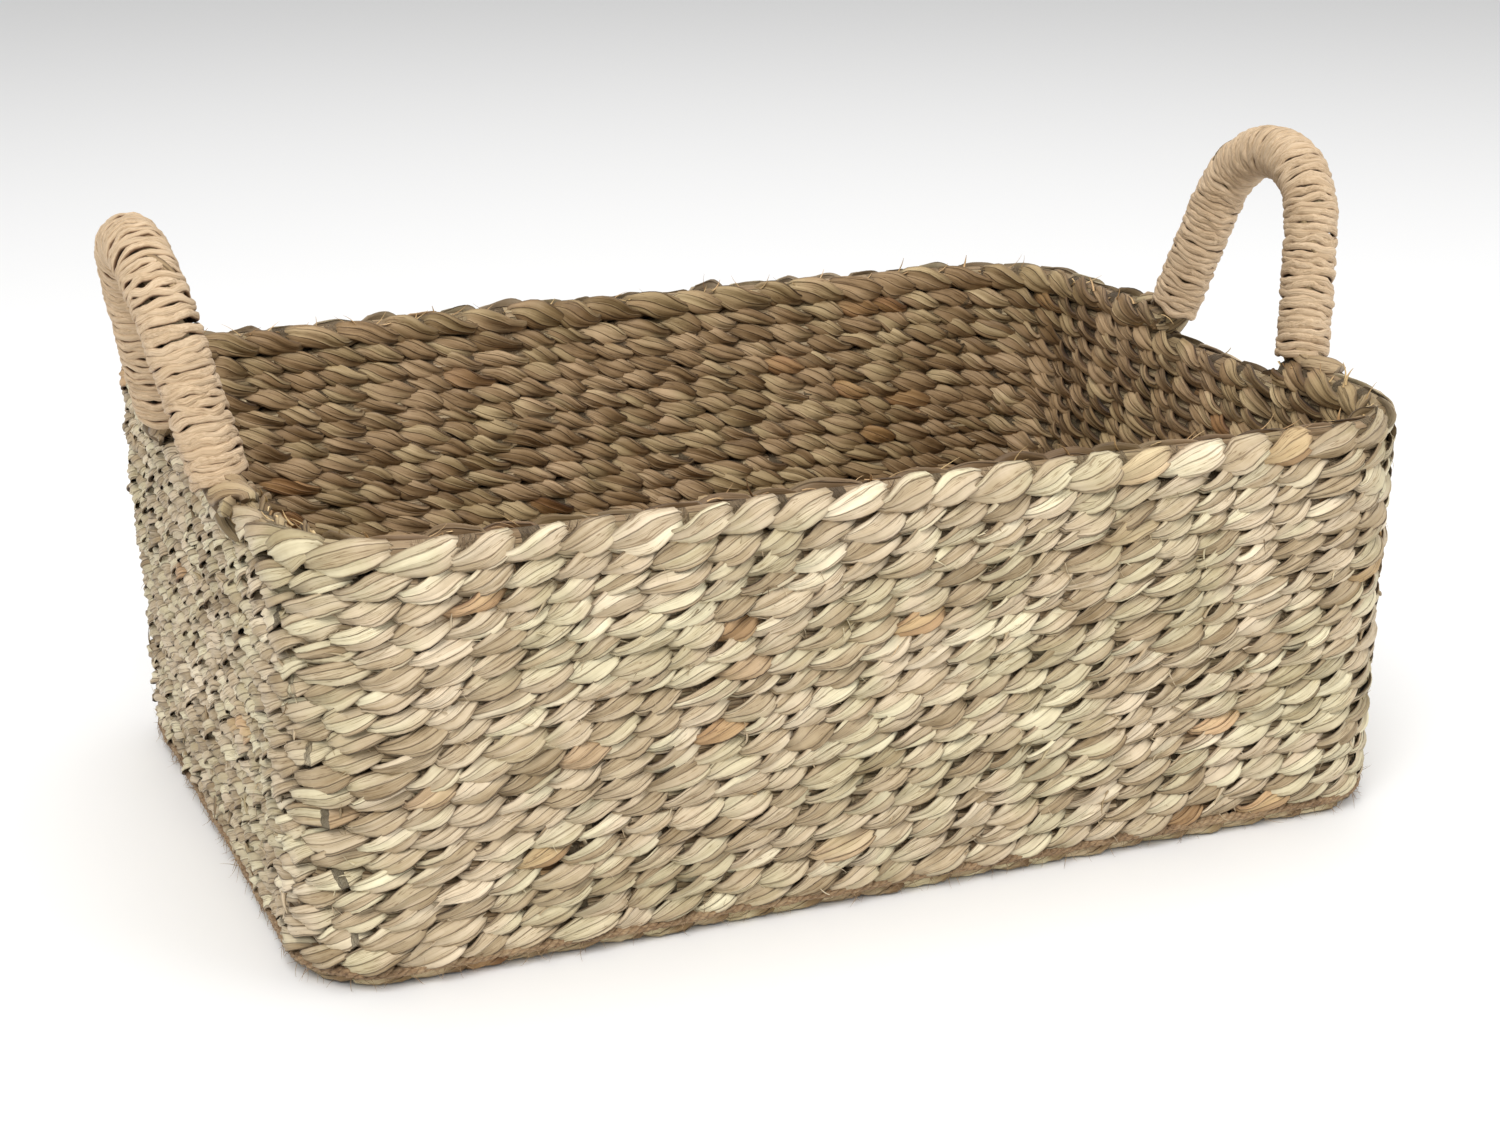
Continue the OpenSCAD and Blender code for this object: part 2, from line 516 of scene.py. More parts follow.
    def section(self, **reaches: Value) -> Arrow:
        """Where a tube's point belongs: off the middle line, along directions that were kept.

        Args:
            reaches: How far along each direction, by the direction's name.

        Returns:
            The place.
        """
        place = self.kept("_centre", Kind.VECTOR)
        for name, reach in reaches.items():
            place = place + self.kept(name, Kind.VECTOR) * reach
        return place

    def noise(self, at: Arrow, scale: float = 1.0, detail: float = 1.0) -> Value:
        """Smooth noise from -1 to 1.

        Args:
            at: Where to read it.
            scale: How many lumps to one unit.
            detail: How many finer layers lie on it.

        Returns:
            The noise.
        """
        made = self.tree.nodes.new("ShaderNodeTexNoise")
        feed(self.tree, made.inputs["Vector"], at)
        made.inputs["Scale"].default_value = scale
        made.inputs["Detail"].default_value = detail
        return Value(self.tree, made.outputs[0]) * 2.0 - 1.0

    def chance(self, number: Value, seed: Value | int, low: float = -1.0, high: float = 1.0) -> Value:
        """A random number that is the same for the same whole number.

        Args:
            number: The whole number.
            seed: Which set of random numbers to use.
            low: The least result.
            high: The largest result.

        Returns:
            The random number.
        """
        made = self.node(
            "FunctionNodeRandomValue", {"data_type": "FLOAT"}, Min=low, Max=high, ID=number, Seed=seed
        )
        return Value(self.tree, open_socket(made.outputs, "Value"))

    def moved(self, geometry: object, place: Arrow) -> bpy.types.NodeSocket:
        """Puts every point at a place of its own."""
        made = self.node("GeometryNodeSetPosition", Geometry=geometry, Position=place)
        return made.outputs["Geometry"]

    def finish(self, geometry: object, material: bpy.types.Material) -> bpy.types.NodeTree:
        """Ends the tree with real geometry, smooth faces and a material.

        Args:
            geometry: The socket that holds the finished shape.
            material: What it is made of.

        Returns:
            The tree.
        """
        real = self.node("GeometryNodeRealizeInstances", Geometry=geometry)
        smooth = self.node("GeometryNodeSetShadeSmooth", Geometry=real.outputs[0])
        dressed = self.node("GeometryNodeSetMaterial", Geometry=smooth.outputs[0], Material=material)
        self.tree.links.new(dressed.outputs[0], self.exit.inputs[0])
        return self.tree


def linked(name: str, data: bpy.types.ID) -> bpy.types.Object:
    """Makes an object from its data and puts it in the scene."""
    made = bpy.data.objects.new(name, data)
    bpy.context.scene.collection.objects.link(made)
    return made


def baked_shape(
    name: str, path: bpy.types.Mesh, tree: bpy.types.NodeTree, sizes: dict
) -> bpy.types.Object:
    """Runs a shape tree on a path and keeps the result as a plain mesh.

    Args:
        name: The piece's name.
        path: The mesh of edges that the tree starts from.
        tree: The Geometry Nodes tree.
        sizes: The tree's inputs by name.

    Returns:
        The finished piece, at the origin.
    """
    draft = linked(name + "_path", path)
    modifier = draft.modifiers.new("shape", "NODES")
    modifier.node_group = tree
    for item in tree.interface.items_tree:
        if item.in_out == "INPUT" and item.name in sizes:
            modifier[item.identifier] = sizes[item.name]
    depsgraph = bpy.context.evaluated_depsgraph_get()
    mesh = bpy.data.meshes.new_from_object(
        draft.evaluated_get(depsgraph), preserve_all_data_layers=True, depsgraph=depsgraph
    )
    mesh.name = name
    for scratch in [a.name for a in mesh.attributes if a.name.startswith("_")]:
        mesh.attributes.remove(mesh.attributes[scratch])
    bpy.data.objects.remove(draft)
    bpy.data.meshes.remove(path)
    return linked(name, mesh)


def length_of(points: list[Vector]) -> float:
    """The length of a path."""
    return sum((b - a).length for a, b in zip(points, points[1:]))


def path_mesh(name: str, paths: list[list[Vector]], closed: bool) -> bpy.types.Mesh:
    """Makes a mesh of edges that joins the points of each path in order.

    Args:
        name: The mesh's name.
        paths: The paths.
        closed: Whether each path's last point joins its first.

    Returns:
        The mesh.
    """
    points, edges = [], []
    for path in paths:
        first = len(points)
        points += path
        edges += [(i, i + 1) for i in range(first, len(points) - 1)]
        if closed:
            edges.append((len(points) - 1, first))
    mesh = bpy.data.meshes.new(name)
    mesh.from_pydata(points, edges, [])
    return mesh


# ---------------------------------------------------------------------------
# Finishes
# ---------------------------------------------------------------------------


class Paint(Formulas):
    """A shader node tree for one material, with helpers that keep recipes short.

    Attributes:
        gloss: How strongly dry fibre mirrors its surroundings.
    """

    gloss: float = 0.35

    def __init__(self, name: str) -> None:
        """Starts a material with only a Principled shader.

        Args:
            name: The material's name.
        """
        self.material = bpy.data.materials.new(name)
        self.material.use_nodes = True
        self.tree = self.material.node_tree
        self.shader = self.tree.nodes["Principled BSDF"]

    def kept(self, name: str) -> Value:
        """Reads a number that the mesh holds on each point."""
        node = self.tree.nodes.new("ShaderNodeAttribute")
        node.attribute_type = "GEOMETRY"
        node.attribute_name = name
        return Value(self.tree, node.outputs["Fac"])

    def place(self) -> Arrow:
        """Where each point is on the object."""
        return Arrow(self.tree, self.tree.nodes.new("ShaderNodeTexCoord").outputs["Object"])

    def noise(self, at: Arrow, scale: float, detail: float = 2.0, roughness: float = 0.5) -> Value:
        """Smooth noise from 0 to 1.

        Args:
            at: Where to read it.
            scale: How many lumps to one unit.
            detail: How many finer layers lie on it.
            roughness: How strong the finer layers are.

        Returns:
            The noise.
        """
        node = self.tree.nodes.new("ShaderNodeTexNoise")
        feed(self.tree, node.inputs["Vector"], at)
        node.inputs["Scale"].default_value = scale
        node.inputs["Detail"].default_value = detail
        node.inputs["Roughness"].default_value = roughness
        return Value(self.tree, node.outputs[0])

    def chance(self, at: Arrow) -> Value:
        """A random number from 0 to 1 that is the same for the same vector."""
        node = self.tree.nodes.new("ShaderNodeTexWhiteNoise")
        feed(self.tree, node.inputs["Vector"], at)
        return Value(self.tree, node.outputs["Value"])

    def ramp(self, amount: Value, stops: tuple) -> Arrow:
        """Turns a number from 0 to 1 into a colour.

        Args:
            amount: The number.
            stops: Pairs of a place from 0 to 1 and a colour.

        Returns:
            The colour.
        """
        node = self.tree.nodes.new("ShaderNodeValToRGB")
        feed(self.tree, node.inputs["Fac"], amount)
        line = node.color_ramp
        while len(line.elements) < len(stops):
            line.elements.new(1.0)
        for element, (place, colour) in zip(line.elements, stops):
            element.position = place
            element.color = (*colour, 1.0)
        return Arrow(self.tree, node.outputs["Color"])

    def blended(self, amount: object, low: object, high: object, how: str = "MIX") -> Arrow:
        """Mixes two colours.

        Args:
            amount: How much of the second.
            low: The first colour.
            high: The second colour.
            how: Blender's name of the way to mix.

        Returns:
            The mixed colour.
        """
        node = self.tree.nodes.new("ShaderNodeMix")
        node.data_type = "RGBA"
        node.blend_type = how
        feed(self.tree, node.inputs["Factor"], amount)
        for socket, given in zip([s for s in node.inputs if s.name in "AB" and s.enabled], (low, high)):
            feed(self.tree, socket, (*given, 1.0) if isinstance(given, tuple) else given)
        return Arrow(self.tree, open_socket(node.outputs, "Result"))

    def stained(self, amount: "Value | float", colour: Arrow, multiplier: "Arrow | tuple") -> Arrow:
        """Multiplies a colour by another, which is a real stain in some uses and painted shade in others.

        Args:
            amount: How much the multiplying colour shows, from 0 to 1.
            colour: The colour.
            multiplier: The multiplying colour.

        Returns:
            The multiplied colour.
        """
        return self.blended(amount, colour, multiplier, "MULTIPLY")

    def relief(self, height: Value, strength: float, depth: float) -> None:
        """Adds a bump to the surface.

        Args:
            height: The height field.
            strength: How much of it shows.
            depth: The height of 1, in metres.
        """
        node = self.tree.nodes.new("ShaderNodeBump")
        node.inputs["Strength"].default_value = strength
        node.inputs["Distance"].default_value = depth
        feed(self.tree, node.inputs["Height"], height)
        self.tree.links.new(node.outputs["Normal"], self.shader.inputs["Normal"])

    def finish(self, colour: Arrow, roughness: "Value | float", sheen: float) -> bpy.types.Material:
        """Sets what the shader shows.

        Args:
            colour: The base colour.
            roughness: How rough the surface is.
            sheen: How much fuzz it shows.

        Returns:
            The material.
        """
        feed(self.tree, self.shader.inputs["Base Color"], colour)
        feed(self.tree, self.shader.inputs["Roughness"], roughness)
        self.shader.inputs["Sheen Weight"].default_value = sheen
        self.shader.inputs["Specular IOR Level"].default_value = self.gloss
        return self.material


class StainAndShade(Enum):
    """Colours that the fibre is multiplied by: real green, rust, streak and thread tints, and painted shade
    in the seams between blades, along blade edges, in crevices and in folds.
    """

    GREEN = (0.88, 0.96, 0.86)
    RUST = (0.80, 0.58, 0.38)
    STREAK = (0.30, 0.21, 0.11)
    # Painted shade in the seams between the blades of a loop.
    CRACK = (0.22, 0.15, 0.08)
    # Painted shade along the edges of a blade.
    EDGE = (0.40, 0.30, 0.19)
    # Painted shade in the crevices where a blade turns in under its neighbours.
    CREVICE = (0.13, 0.08, 0.04)
    THREAD = (0.40, 0.27, 0.15)
    # Painted shade where the raffia ribbon turns its face away and tucks under the next turn.
    FOLD = (0.18, 0.10, 0.055)


RAFFIA_TONES = (
    (0.0, (0.38, 0.255, 0.14)),
    (0.3, (0.58, 0.42, 0.26)),
    (0.6, (0.71, 0.54, 0.36)),
    (1.0, (0.86, 0.69, 0.495)),
)
JUTE_TONES = (
    (0.28, (0.10, 0.055, 0.025)),
    (0.45, (0.27, 0.17, 0.09)),
    (0.6, (0.40, 0.28, 0.16)),
    (0.78, (0.56, 0.43, 0.27)),
)
WALL_TONES = (
    (0.0, (0.09, 0.05, 0.02)),
    (0.18, (0.24, 0.165, 0.08)),
    (0.42, (0.45, 0.345, 0.212)),
    (0.68, (0.65, 0.53, 0.37)),
    (1.0, (0.92, 0.79, 0.59)),
)
BASE_TONES = (
    (0.0, (0.15, 0.09, 0.04)),
    (0.2, (0.33, 0.235, 0.12)),
    (0.5, (0.52, 0.40, 0.235)),
    (0.8, (0.70, 0.57, 0.37)),
    (1.0, (0.84, 0.73, 0.52)),
)


def tinted(tones: tuple, tint: tuple[float, float, float]) -> tuple:
    """Multiplies every colour of a row of tones.

    Args:
        tones: Pairs of a place from 0 to 1 and a colour.
        tint: The factors for red, green and blue.

    Returns:
        The new tones.
    """
    return tuple((at, tuple(part * by for part, by in zip(colour, tint))) for at, colour in tones)


@dataclass(frozen=True)
class SeagrassFinish:
    """Dried seagrass: each strand is a few flat blades, with a tone of their own in each loop.

    Attributes:
        name: The material's name.
        tones: Colours from the darkest blade to the lightest, with their places.
        shaded: Painted shade: colour that the loops on the dark side are multiplied by.
        crevice: How strongly painted shade darkens the sunken edges of a loop, from 0 to 1.
        relief: Height of the creases in metres.
    """

    name: str
    tones: tuple
    shaded: tuple
    crevice: float = 0.85
    relief: float = 0.0005

    def build(self) -> bpy.types.Material:
        """Makes the material."""
        paint = Paint(self.name)
        along, across, tone, inner, deep = (
            paint.kept(k) for k in ("along", "across", "tone", "inner", "deep")
        )
        drift = paint.noise(paint.vector(along * 45.0, tone * 31.0, across * 0.6), 1.0, 1.0)
        split = across * 1.3 + tone * 23.0 + (drift - 0.5) * 0.8
        number = (tone * 977.0).floor()
        blade = paint.chance(paint.vector(split.floor(), number, 1.0))
        seam = (split.part() - 0.5).size() * 2.0
        grain = paint.vector(across * 2.6, along * 22.0, tone * 37.0)
        fine = paint.vector(across * 15.0, along * 40.0, tone * 91.0)
        streaks = paint.noise(grain, 1.0, 3.0, 0.6)
        threads = paint.noise(fine, 1.0, 2.0, 0.6)
        mottle = paint.noise(paint.place(), 90.0, 3.0, 0.6)
        shade = tone * 0.24 + blade * 0.42 + (streaks - 0.5) * 0.5 + (mottle - 0.5) * 0.4
        colour = paint.ramp(shade + (threads - 0.5) * 0.22 + 0.24, self.tones)
        hue = paint.noise(paint.place() + (3.0, 1.0, 2.0), 30.0, 2.0, 0.5)
        green = (hue + (blade - 0.5) * 0.3).bent(0.42, 0.66) * 0.7
        colour = paint.stained(green, colour, StainAndShade.GREEN.value)
        rust = paint.chance(paint.vector(number, 5.0, 1.0)).bent(0.965, 0.985)
        colour = paint.stained(rust * 0.8, colour, StainAndShade.RUST.value)
        # Painted shade: the loops on the dark side take the shaded colour.
        dark = paint.stained(1.0, colour, self.shaded)
        colour = paint.blended(inner, colour, dark)
        lines = (streaks - 0.47).size().bent(0.018, 0.003) * 0.6
        colour = paint.stained(lines, colour, StainAndShade.STREAK.value)
        # Painted shade: darkens the seams between the blades of a loop.
        seam_shade = seam.bent(0.84, 0.98) * 0.6
        colour = paint.stained(seam_shade, colour, StainAndShade.CRACK.value)
        # Painted shade: darkens both edges of every blade.
        edge = across.size().bent(0.82, 1.0) * 0.35
        colour = paint.stained(edge, colour, StainAndShade.EDGE.value)
        # Painted shade: darkens where the blade turns into the plait, as strongly as the finish's crevice
        # strength says.
        colour = paint.stained(deep * self.crevice, colour, StainAndShade.CREVICE.value)
        slope = split.part() * mixed(paint.chance(paint.vector(split.floor(), number, 4.0)), -1.0, 1.0)
        height = slope * 2.4 + streaks * 0.45 + threads * 0.25 - seam.bent(0.8, 1.0) * 0.5
        paint.relief(height, 1.0, self.relief)
        return paint.finish(colour, mixed(streaks, 0.70, 0.44), 0.03)


@dataclass(frozen=True)
class RaffiaFinish:
    """Flat raffia ribbon, warm and fine-grained."""

    name: str = "raffia_wrap"

    def build(self) -> bpy.types.Material:
        """Makes the material."""
        paint = Paint(self.name)
        along, across, tone, deep = (paint.kept(k) for k in ("along", "across", "tone", "deep"))
        grain = paint.vector(across * 3.2, along * 40.0, tone * 53.0)
        fine = paint.vector(across * 11.0, along * 70.0, tone * 17.0)
        streaks = paint.noise(grain, 1.0, 2.0, 0.55)
        threads = paint.noise(fine, 1.0, 2.0, 0.6)
        mottle = paint.noise(paint.place(), 120.0, 2.0, 0.6)
        shade = tone * 0.42 + 0.16 + (streaks - 0.5) * 0.8 + (mottle - 0.5) * 0.35
        colour = paint.ramp(shade, RAFFIA_TONES)
        lines = threads.bent(0.44, 0.32) * 0.6
        colour = paint.stained(lines, colour, StainAndShade.THREAD.value)
        # Painted shade: darkens the ribbon where its face turns away.
        colour = paint.stained(deep * 0.95, colour, StainAndShade.FOLD.value)
        paint.relief(streaks * 0.7 + threads * 0.5, 1.0, 0.0006)
        return paint.finish(colour, 0.62, 0.05)


@dataclass(frozen=True)
class JuteFinish:
    """Brown jute fibre."""

    name: str = "jute_twine"

    def build(self) -> bpy.types.Material:
        """Makes the material."""
        paint = Paint(self.name)
        place = paint.place()
        fibre = paint.noise(place.times((1.0, 1.0, 3.0)), 520.0, 3.0, 0.65)
        tone = paint.noise(place, 70.0, 2.0, 0.5)
        colour = paint.ramp(fibre * 0.65 + tone * 0.35, JUTE_TONES)
        paint.relief(fibre, 0.9, 0.0006)
        return paint.finish(colour, 0.85, 0.1)


# ---------------------------------------------------------------------------
# Plait
# ---------------------------------------------------------------------------


class Dark(Enum):
    """Which side of a plait gets painted shade, multiplied into its colour."""

    INSIDE = "inner edge"
    ABOVE = "upper face"
    NONE = "none"


@dataclass(frozen=True)
class PlaitSizes:
    """Sizes of a three-strand plait, in metres.

    Attributes:
        width: Width of the plait, from one edge to the other.
        height: Thickness of the plait, from one broad face to the other.
        pitch: Length in which one strand comes back to the same edge.
        leaf: Half the width of a strand where it folds round the outer edge.
        cord: Half the width of a strand where it folds round the inner edge.
        leaf_thick: Half the thickness of a strand at the outer edge.
        cord_thick: Half the thickness of a strand at the inner edge.
        crease: Depth of the creases along a strand.
        wave: How far the plait wanders from its path.
        rise: Share of the thickness that the strands climb.
        heart_broad: Half the width of the packing between the strands.
        heart_deep: Half the thickness of the packing.
        samples: Rings of points in one pitch.
        corners: Points round one strand.
    """

    width: float = 0.012
    height: float = 0.0068
    pitch: float = 0.047
    leaf: float = 0.0045
    cord: float = 0.0044
    leaf_thick: float = 0.0008
    cord_thick: float = 0.0011
    crease: float = 0.0012
    wave: float = 0.0017
    rise: float = 1.08
    heart_broad: float = 0.0046
    heart_deep: float = 0.0033
    samples: int = 24
    corners: int = 16


class PlaitTree:
    """The tree that plaits three strands along a path.

    Each strand swings from the outer edge to the inner one and goes under at each crossing, so
    its track in the plait's section is a figure of eight. Its blade turns with it, so that it
    shows its broad side at the outer edge.

    Attributes:
        fixed: Sizes that decide how many points there are, and so aren't inputs of the tree.
        bulge: How far a loop stands out or in from its edge at random.
        slip: How far a loop lies up or down at random.
        spread: How far apart two strands are where they cross.
        lowest: Least height of a flat plait's skin over the floor.
        highest: Its greatest height.
        heart_corners: Points round the packing.
    """

    fixed = ("pitch", "samples", "corners")
    bulge: float = 0.0006
    slip: float = 0.0009
    spread: float = 0.0007
    lowest: float = 0.0003
    highest: float = 0.0074
    heart_corners: int = 8

    def __init__(
        self,
        name: str,
        sizes: PlaitSizes,
        material: bpy.types.Material,
        closed: bool = True,
        dark: Dark = Dark.INSIDE,
    ) -> None:
        """Builds the tree.

        Args:
            name: The tree's name.
            sizes: The plait's sizes, used as the inputs' defaults.
            material: What the strands are made of.
            closed: Whether the path is a loop.
            dark: Which side gets painted shade.
        """
        self.sizes, self.closed = sizes, closed
        shape = ShapeTree(name)
        self.size = {
            key.name: shape.size(key.name, getattr(sizes, key.name))
            for key in fields(sizes)
            if key.name not in self.fixed
        }
        self.periods = shape.size("periods", 20)
        self.rings = shape.size("rings", 480)
        self.seed = shape.size("seed", 1)
        self.face = shape.direction("face", (0.0, 0.0, 1.0))
        laid = self.tracks(shape)
        tube = self.tubes(shape, laid)
        self.tree = self.skins(shape, tube, dark, material)

    def blade(self, swing: Value) -> tuple[Value, Value, Value]:
        """How far out a strand is, and its half width and half thickness there.

        Args:
            swing: The strand's place from the inner edge, -1, to the outer one, 1.

        Returns:
            The share of the outer shape, the half width and the half thickness.
        """
        outer = (swing * 0.5 + 0.5).bent(0.15, 0.85)
        broad = mixed(outer, self.size["cord"], self.size["leaf"])
        thick = mixed(outer, self.size["cord_thick"], self.size["leaf_thick"])
        return outer, broad * (swing.size() ** 1.2 * 0.60 + 0.40), thick

    def tracks(self, shape: ShapeTree) -> bpy.types.NodeSocket:
        """Lays the middle lines of the three strands."""
        place = shape.position()
        drift = place.times((1.0, 1.0, 0.35))
        out, up = shape.sides(self.face)
        place = place + up * (shape.noise(drift, 17.0, 2.0) * self.size["wave"])
        place = place + out * (shape.noise(drift + (5.0, 3.0, 1.0), 21.0) * self.size["wave"])
        waved = shape.moved(shape.curve(self.rings), place)
        self.heart = self.packing(shape, waved)
        copies, strand = shape.strands(waved)
        slack = shape.noise(shape.position() + (9.0, 4.0, 2.0), 45.0, 1.0)
        phase = shape.along() * self.periods * TAU + strand * (TAU / STRANDS) + slack * 0.9
        swing = phase.sin()
        loop = (phase / math.pi + 0.0005).floor() + strand * 1024.0
        _, _, thick = self.blade(swing)
        bulge = shape.chance(loop, self.seed) * self.bulge
        slip = shape.chance(loop, self.seed + 7) * swing.size() * self.slip
        reach = self.size["width"] * 0.5 - thick + bulge
        across_by = swing * (swing.size() + 0.03) ** -0.5 * reach + phase.cos() * self.spread
        climb = (thick * 0.75 - self.size["height"] * 0.5) * self.size["rise"]
        up_by = (swing * 3.0).most(-1.0).least(1.0) * phase.cos() * climb + slip
        out, up = shape.sides(self.face)
        marked = shape.marks(copies, _phase=phase, _out=out, _up=up, _loop=loop)
        return shape.moved(marked, shape.position() + out * across_by + up * up_by)

    def packing(self, shape: ShapeTree, waved: bpy.types.NodeSocket) -> bpy.types.NodeSocket:
        """Packs the middle of the plait with broken blades, so that light doesn't pass through it."""
        fewer = shape.node("GeometryNodeResampleCurve", Curve=waved, Count=self.periods * 8.0)
        out, up = shape.sides(self.face)
        marked = shape.marks(
            fewer.outputs[0], _out=out, _up=up, _centre=shape.position(), along=shape.along("Length")
        )
        tube = shape.tube(marked, self.heart_corners, not self.closed)
        turn = shape.kept("_turn")
        skin = shape.section(
            _out=turn.cos() * self.size["heart_broad"], _up=turn.sin() * self.size["heart_deep"]
        )
        clump = (shape.kept("along") * 60.0).floor()
        return shape.marks(
            shape.moved(tube, skin),
            across=turn.sin() * 2.0,
            tone=shape.chance(clump, self.seed, 0.0, 0.6),
            # Painted shade: the packing gets a fixed crevice darkening and a fixed share of the dark-side
            # colour.
            deep=0.18,
            inner=0.6,
        )

    def tubes(self, shape: ShapeTree, laid: bpy.types.NodeSocket) -> bpy.types.NodeSocket:
        """Joins rings of points along the middle lines, each with a blade's directions."""
        phase, loop = shape.kept("_phase"), shape.kept("_loop")
        lean = shape.kept("_out", Kind.VECTOR) - shape.kept("_up", Kind.VECTOR) * (phase.cos() * 0.75)
        roll = (shape.chance(loop, self.seed + 9) * 0.38 - 0.12) * phase.sin().size()
        return shape.tube(shape.blades(laid, lean, roll), self.sizes.corners, not self.closed)

    def skins(
        self, shape: ShapeTree, tube: bpy.types.NodeSocket, dark: Dark, material: bpy.types.Material
    ) -> bpy.types.NodeTree:
        """Gives every strand its creased, leaf-like section.

        Args:
            shape: The tree so far.
            tube: Its rings of points.
            dark: Which side gets painted shade.
            material: What the strands are made of.

        Returns:
            The finished tree.
        """
        phase, loop, turn = shape.kept("_phase"), shape.kept("_loop"), shape.kept("_turn")
        swing, run = phase.sin(), shape.kept("along")
        reach = swing.size()
        outer, broad, thick = self.blade(swing)
        turn = turn + turn.cos() * swing * 0.4
        across, over = turn.cos(), turn.sin()
        lens = mixed(outer, over, over * (over.size() * 0.55 + 0.45))
        broad = broad * (shape.chance(loop, self.seed + 3) * reach * 0.2 + 1.0)
        wander = shape.noise(shape.vector(across * 0.8, run * 45.0, loop * 0.37), 1.0, 1.0)
        fold = across * 1.3 + shape.chance(loop, self.seed + 5) + wander * 0.6
        pleat = ((fold.part() - 0.5).size() * 2.0 - 0.5) * self.size["crease"] * over
        ragged = shape.noise(shape.vector(over, run * 90.0, loop * 0.7), 1.0) * 0.12 + 1.0
        skin = shape.section(_side=across * broad * ragged, _normal=lens * thick + pleat)
        if dark is Dark.ABOVE:
            x, y, z = skin.parts()
            skin = shape.vector(x, y, z.most(self.lowest).least(self.highest))
        # Painted shade mask for the dark side: the inner edge of a wall turn, and the upper face of a base
        # turn.
        facing = {
            Dark.INSIDE: (swing * -0.5 + 0.5).bent(0.25, 0.75),
            Dark.ABOVE: (over * phase.cos() * -1.0).bent(-0.3, 0.3),
            Dark.NONE: 0.0,
        }
        body = shape.marks(
            shape.moved(tube, skin),
            across=across,
            tone=shape.chance(loop, self.seed + 11, 0.0, 1.0),
            # Painted shade mask: 1 where the blade's face turns into the plait, 0 where it faces out.
            deep=(over * swing).bent(0.46, -0.05),
            inner=facing[dark],
        )
        both = shape.node("GeometryNodeJoinGeometry", Geometry=body)
        shape.tree.links.new(self.heart, both.inputs["Geometry"])
        return shape.finish(both.outputs[0], material)

    def plait(self, name: str, points: list[Vector], seed: int, **sizes: object) -> bpy.types.Object:
        """Plaits along a path.

        Args:
            name: The piece's name.
            points: The path of the plait's middle.
            seed: Which set of random numbers to use.
            sizes: Tree inputs that differ from the defaults.

        Returns:
            The plait as a plain mesh.
        """
        loop = points + points[:1] if self.closed else points
        periods = max(1, round(length_of(loop) / self.sizes.pitch))
        given = {"periods": periods, "rings": periods * self.sizes.samples, "seed": seed, **sizes}
        return baked_shape(name, path_mesh(name, [points], self.closed), self.tree, given)


def rounded_path(length: float, depth: float, radius: float, height: float) -> list[Vector]:
    """The points of a level rounded rectangle, anticlockwise from above.

    Args:
        length: Its size along X.
        depth: Its size along Y.
        radius: Its corner radius.
        height: Where it lies on Z.

    Returns:
        The points.
    """
    points = []
    for corner, (side_x, side_y) in enumerate(((1, 1), (-1, 1), (-1, -1), (1, -1))):
        for step in range(CORNER_STEPS + 1):
            angle = (corner + step / CORNER_STEPS) * math.pi / 2
            x = side_x * (length / 2 - radius) + radius * math.cos(angle)
            y = side_y * (depth / 2 - radius) + radius * math.sin(angle)
            points.append(Vector((x, y, height)))
    return points


def settle(piece: bpy.types.Object, slot: str, body: str, *nodes: str) -> None:
    """Puts a piece in a CAD node's place on its body and reports it.

    Args:
        piece: The finished piece.
        slot: The material slot that it stands for; not used.
        body: The body that it moves with.
        nodes: The CAD nodes that it replaces.
    """
    if nodes:
        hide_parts(*nodes)
    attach(piece, body)
    LOG.info("%s: %d faces on %s", piece.name, len(piece.data.polygons), body)


# ---------------------------------------------------------------------------
# Basket
# ---------------------------------------------------------------------------


@dataclass
class Wall:
    """The turns of plait under the rim.

    Attributes:
        sizes: Sizes of the plait.
        foot_corner: Outer corner radius at the foot.
        rim_corner: Outer corner radius at the rim.
        rows: How many turns there are.
    """

    sizes: PlaitSizes = field(default_factory=PlaitSizes)
    foot_corner: float = 0.030
    rim_corner: float = 0.047
    rows: int = 19

    def corner(self, height: float) -> float:
        """The outer corner radius at a height."""
        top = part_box("rim_front")[1].z
        return self.foot_corner + (self.rim_corner - self.foot_corner) * height / top

    def path(self, node: str) -> list[Vector]:
        """The middle line of a turn."""
        low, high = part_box(node)
        middle = (low.z + high.z) / 2
        inset = self.sizes.width
        radius = self.corner(middle) - inset / 2
        return rounded_path(high.x - low.x - inset, high.y - low.y - inset, radius, middle)

    def build(self, material: bpy.types.Material) -> None:
        """Plaits every turn and puts it in its node's place."""
        tree = PlaitTree("wall_plait", self.sizes, material)
        for row in range(1, self.rows + 1):
            node = f"wall_row_{row:02d}"
            path = self.path(node)
            start = (row * 17) % len(path)
            piece = tree.plait(node + "_plait", path[start:] + path[:start], seed=row * 31)
            settle(piece, "wall_plait", "basket", node)


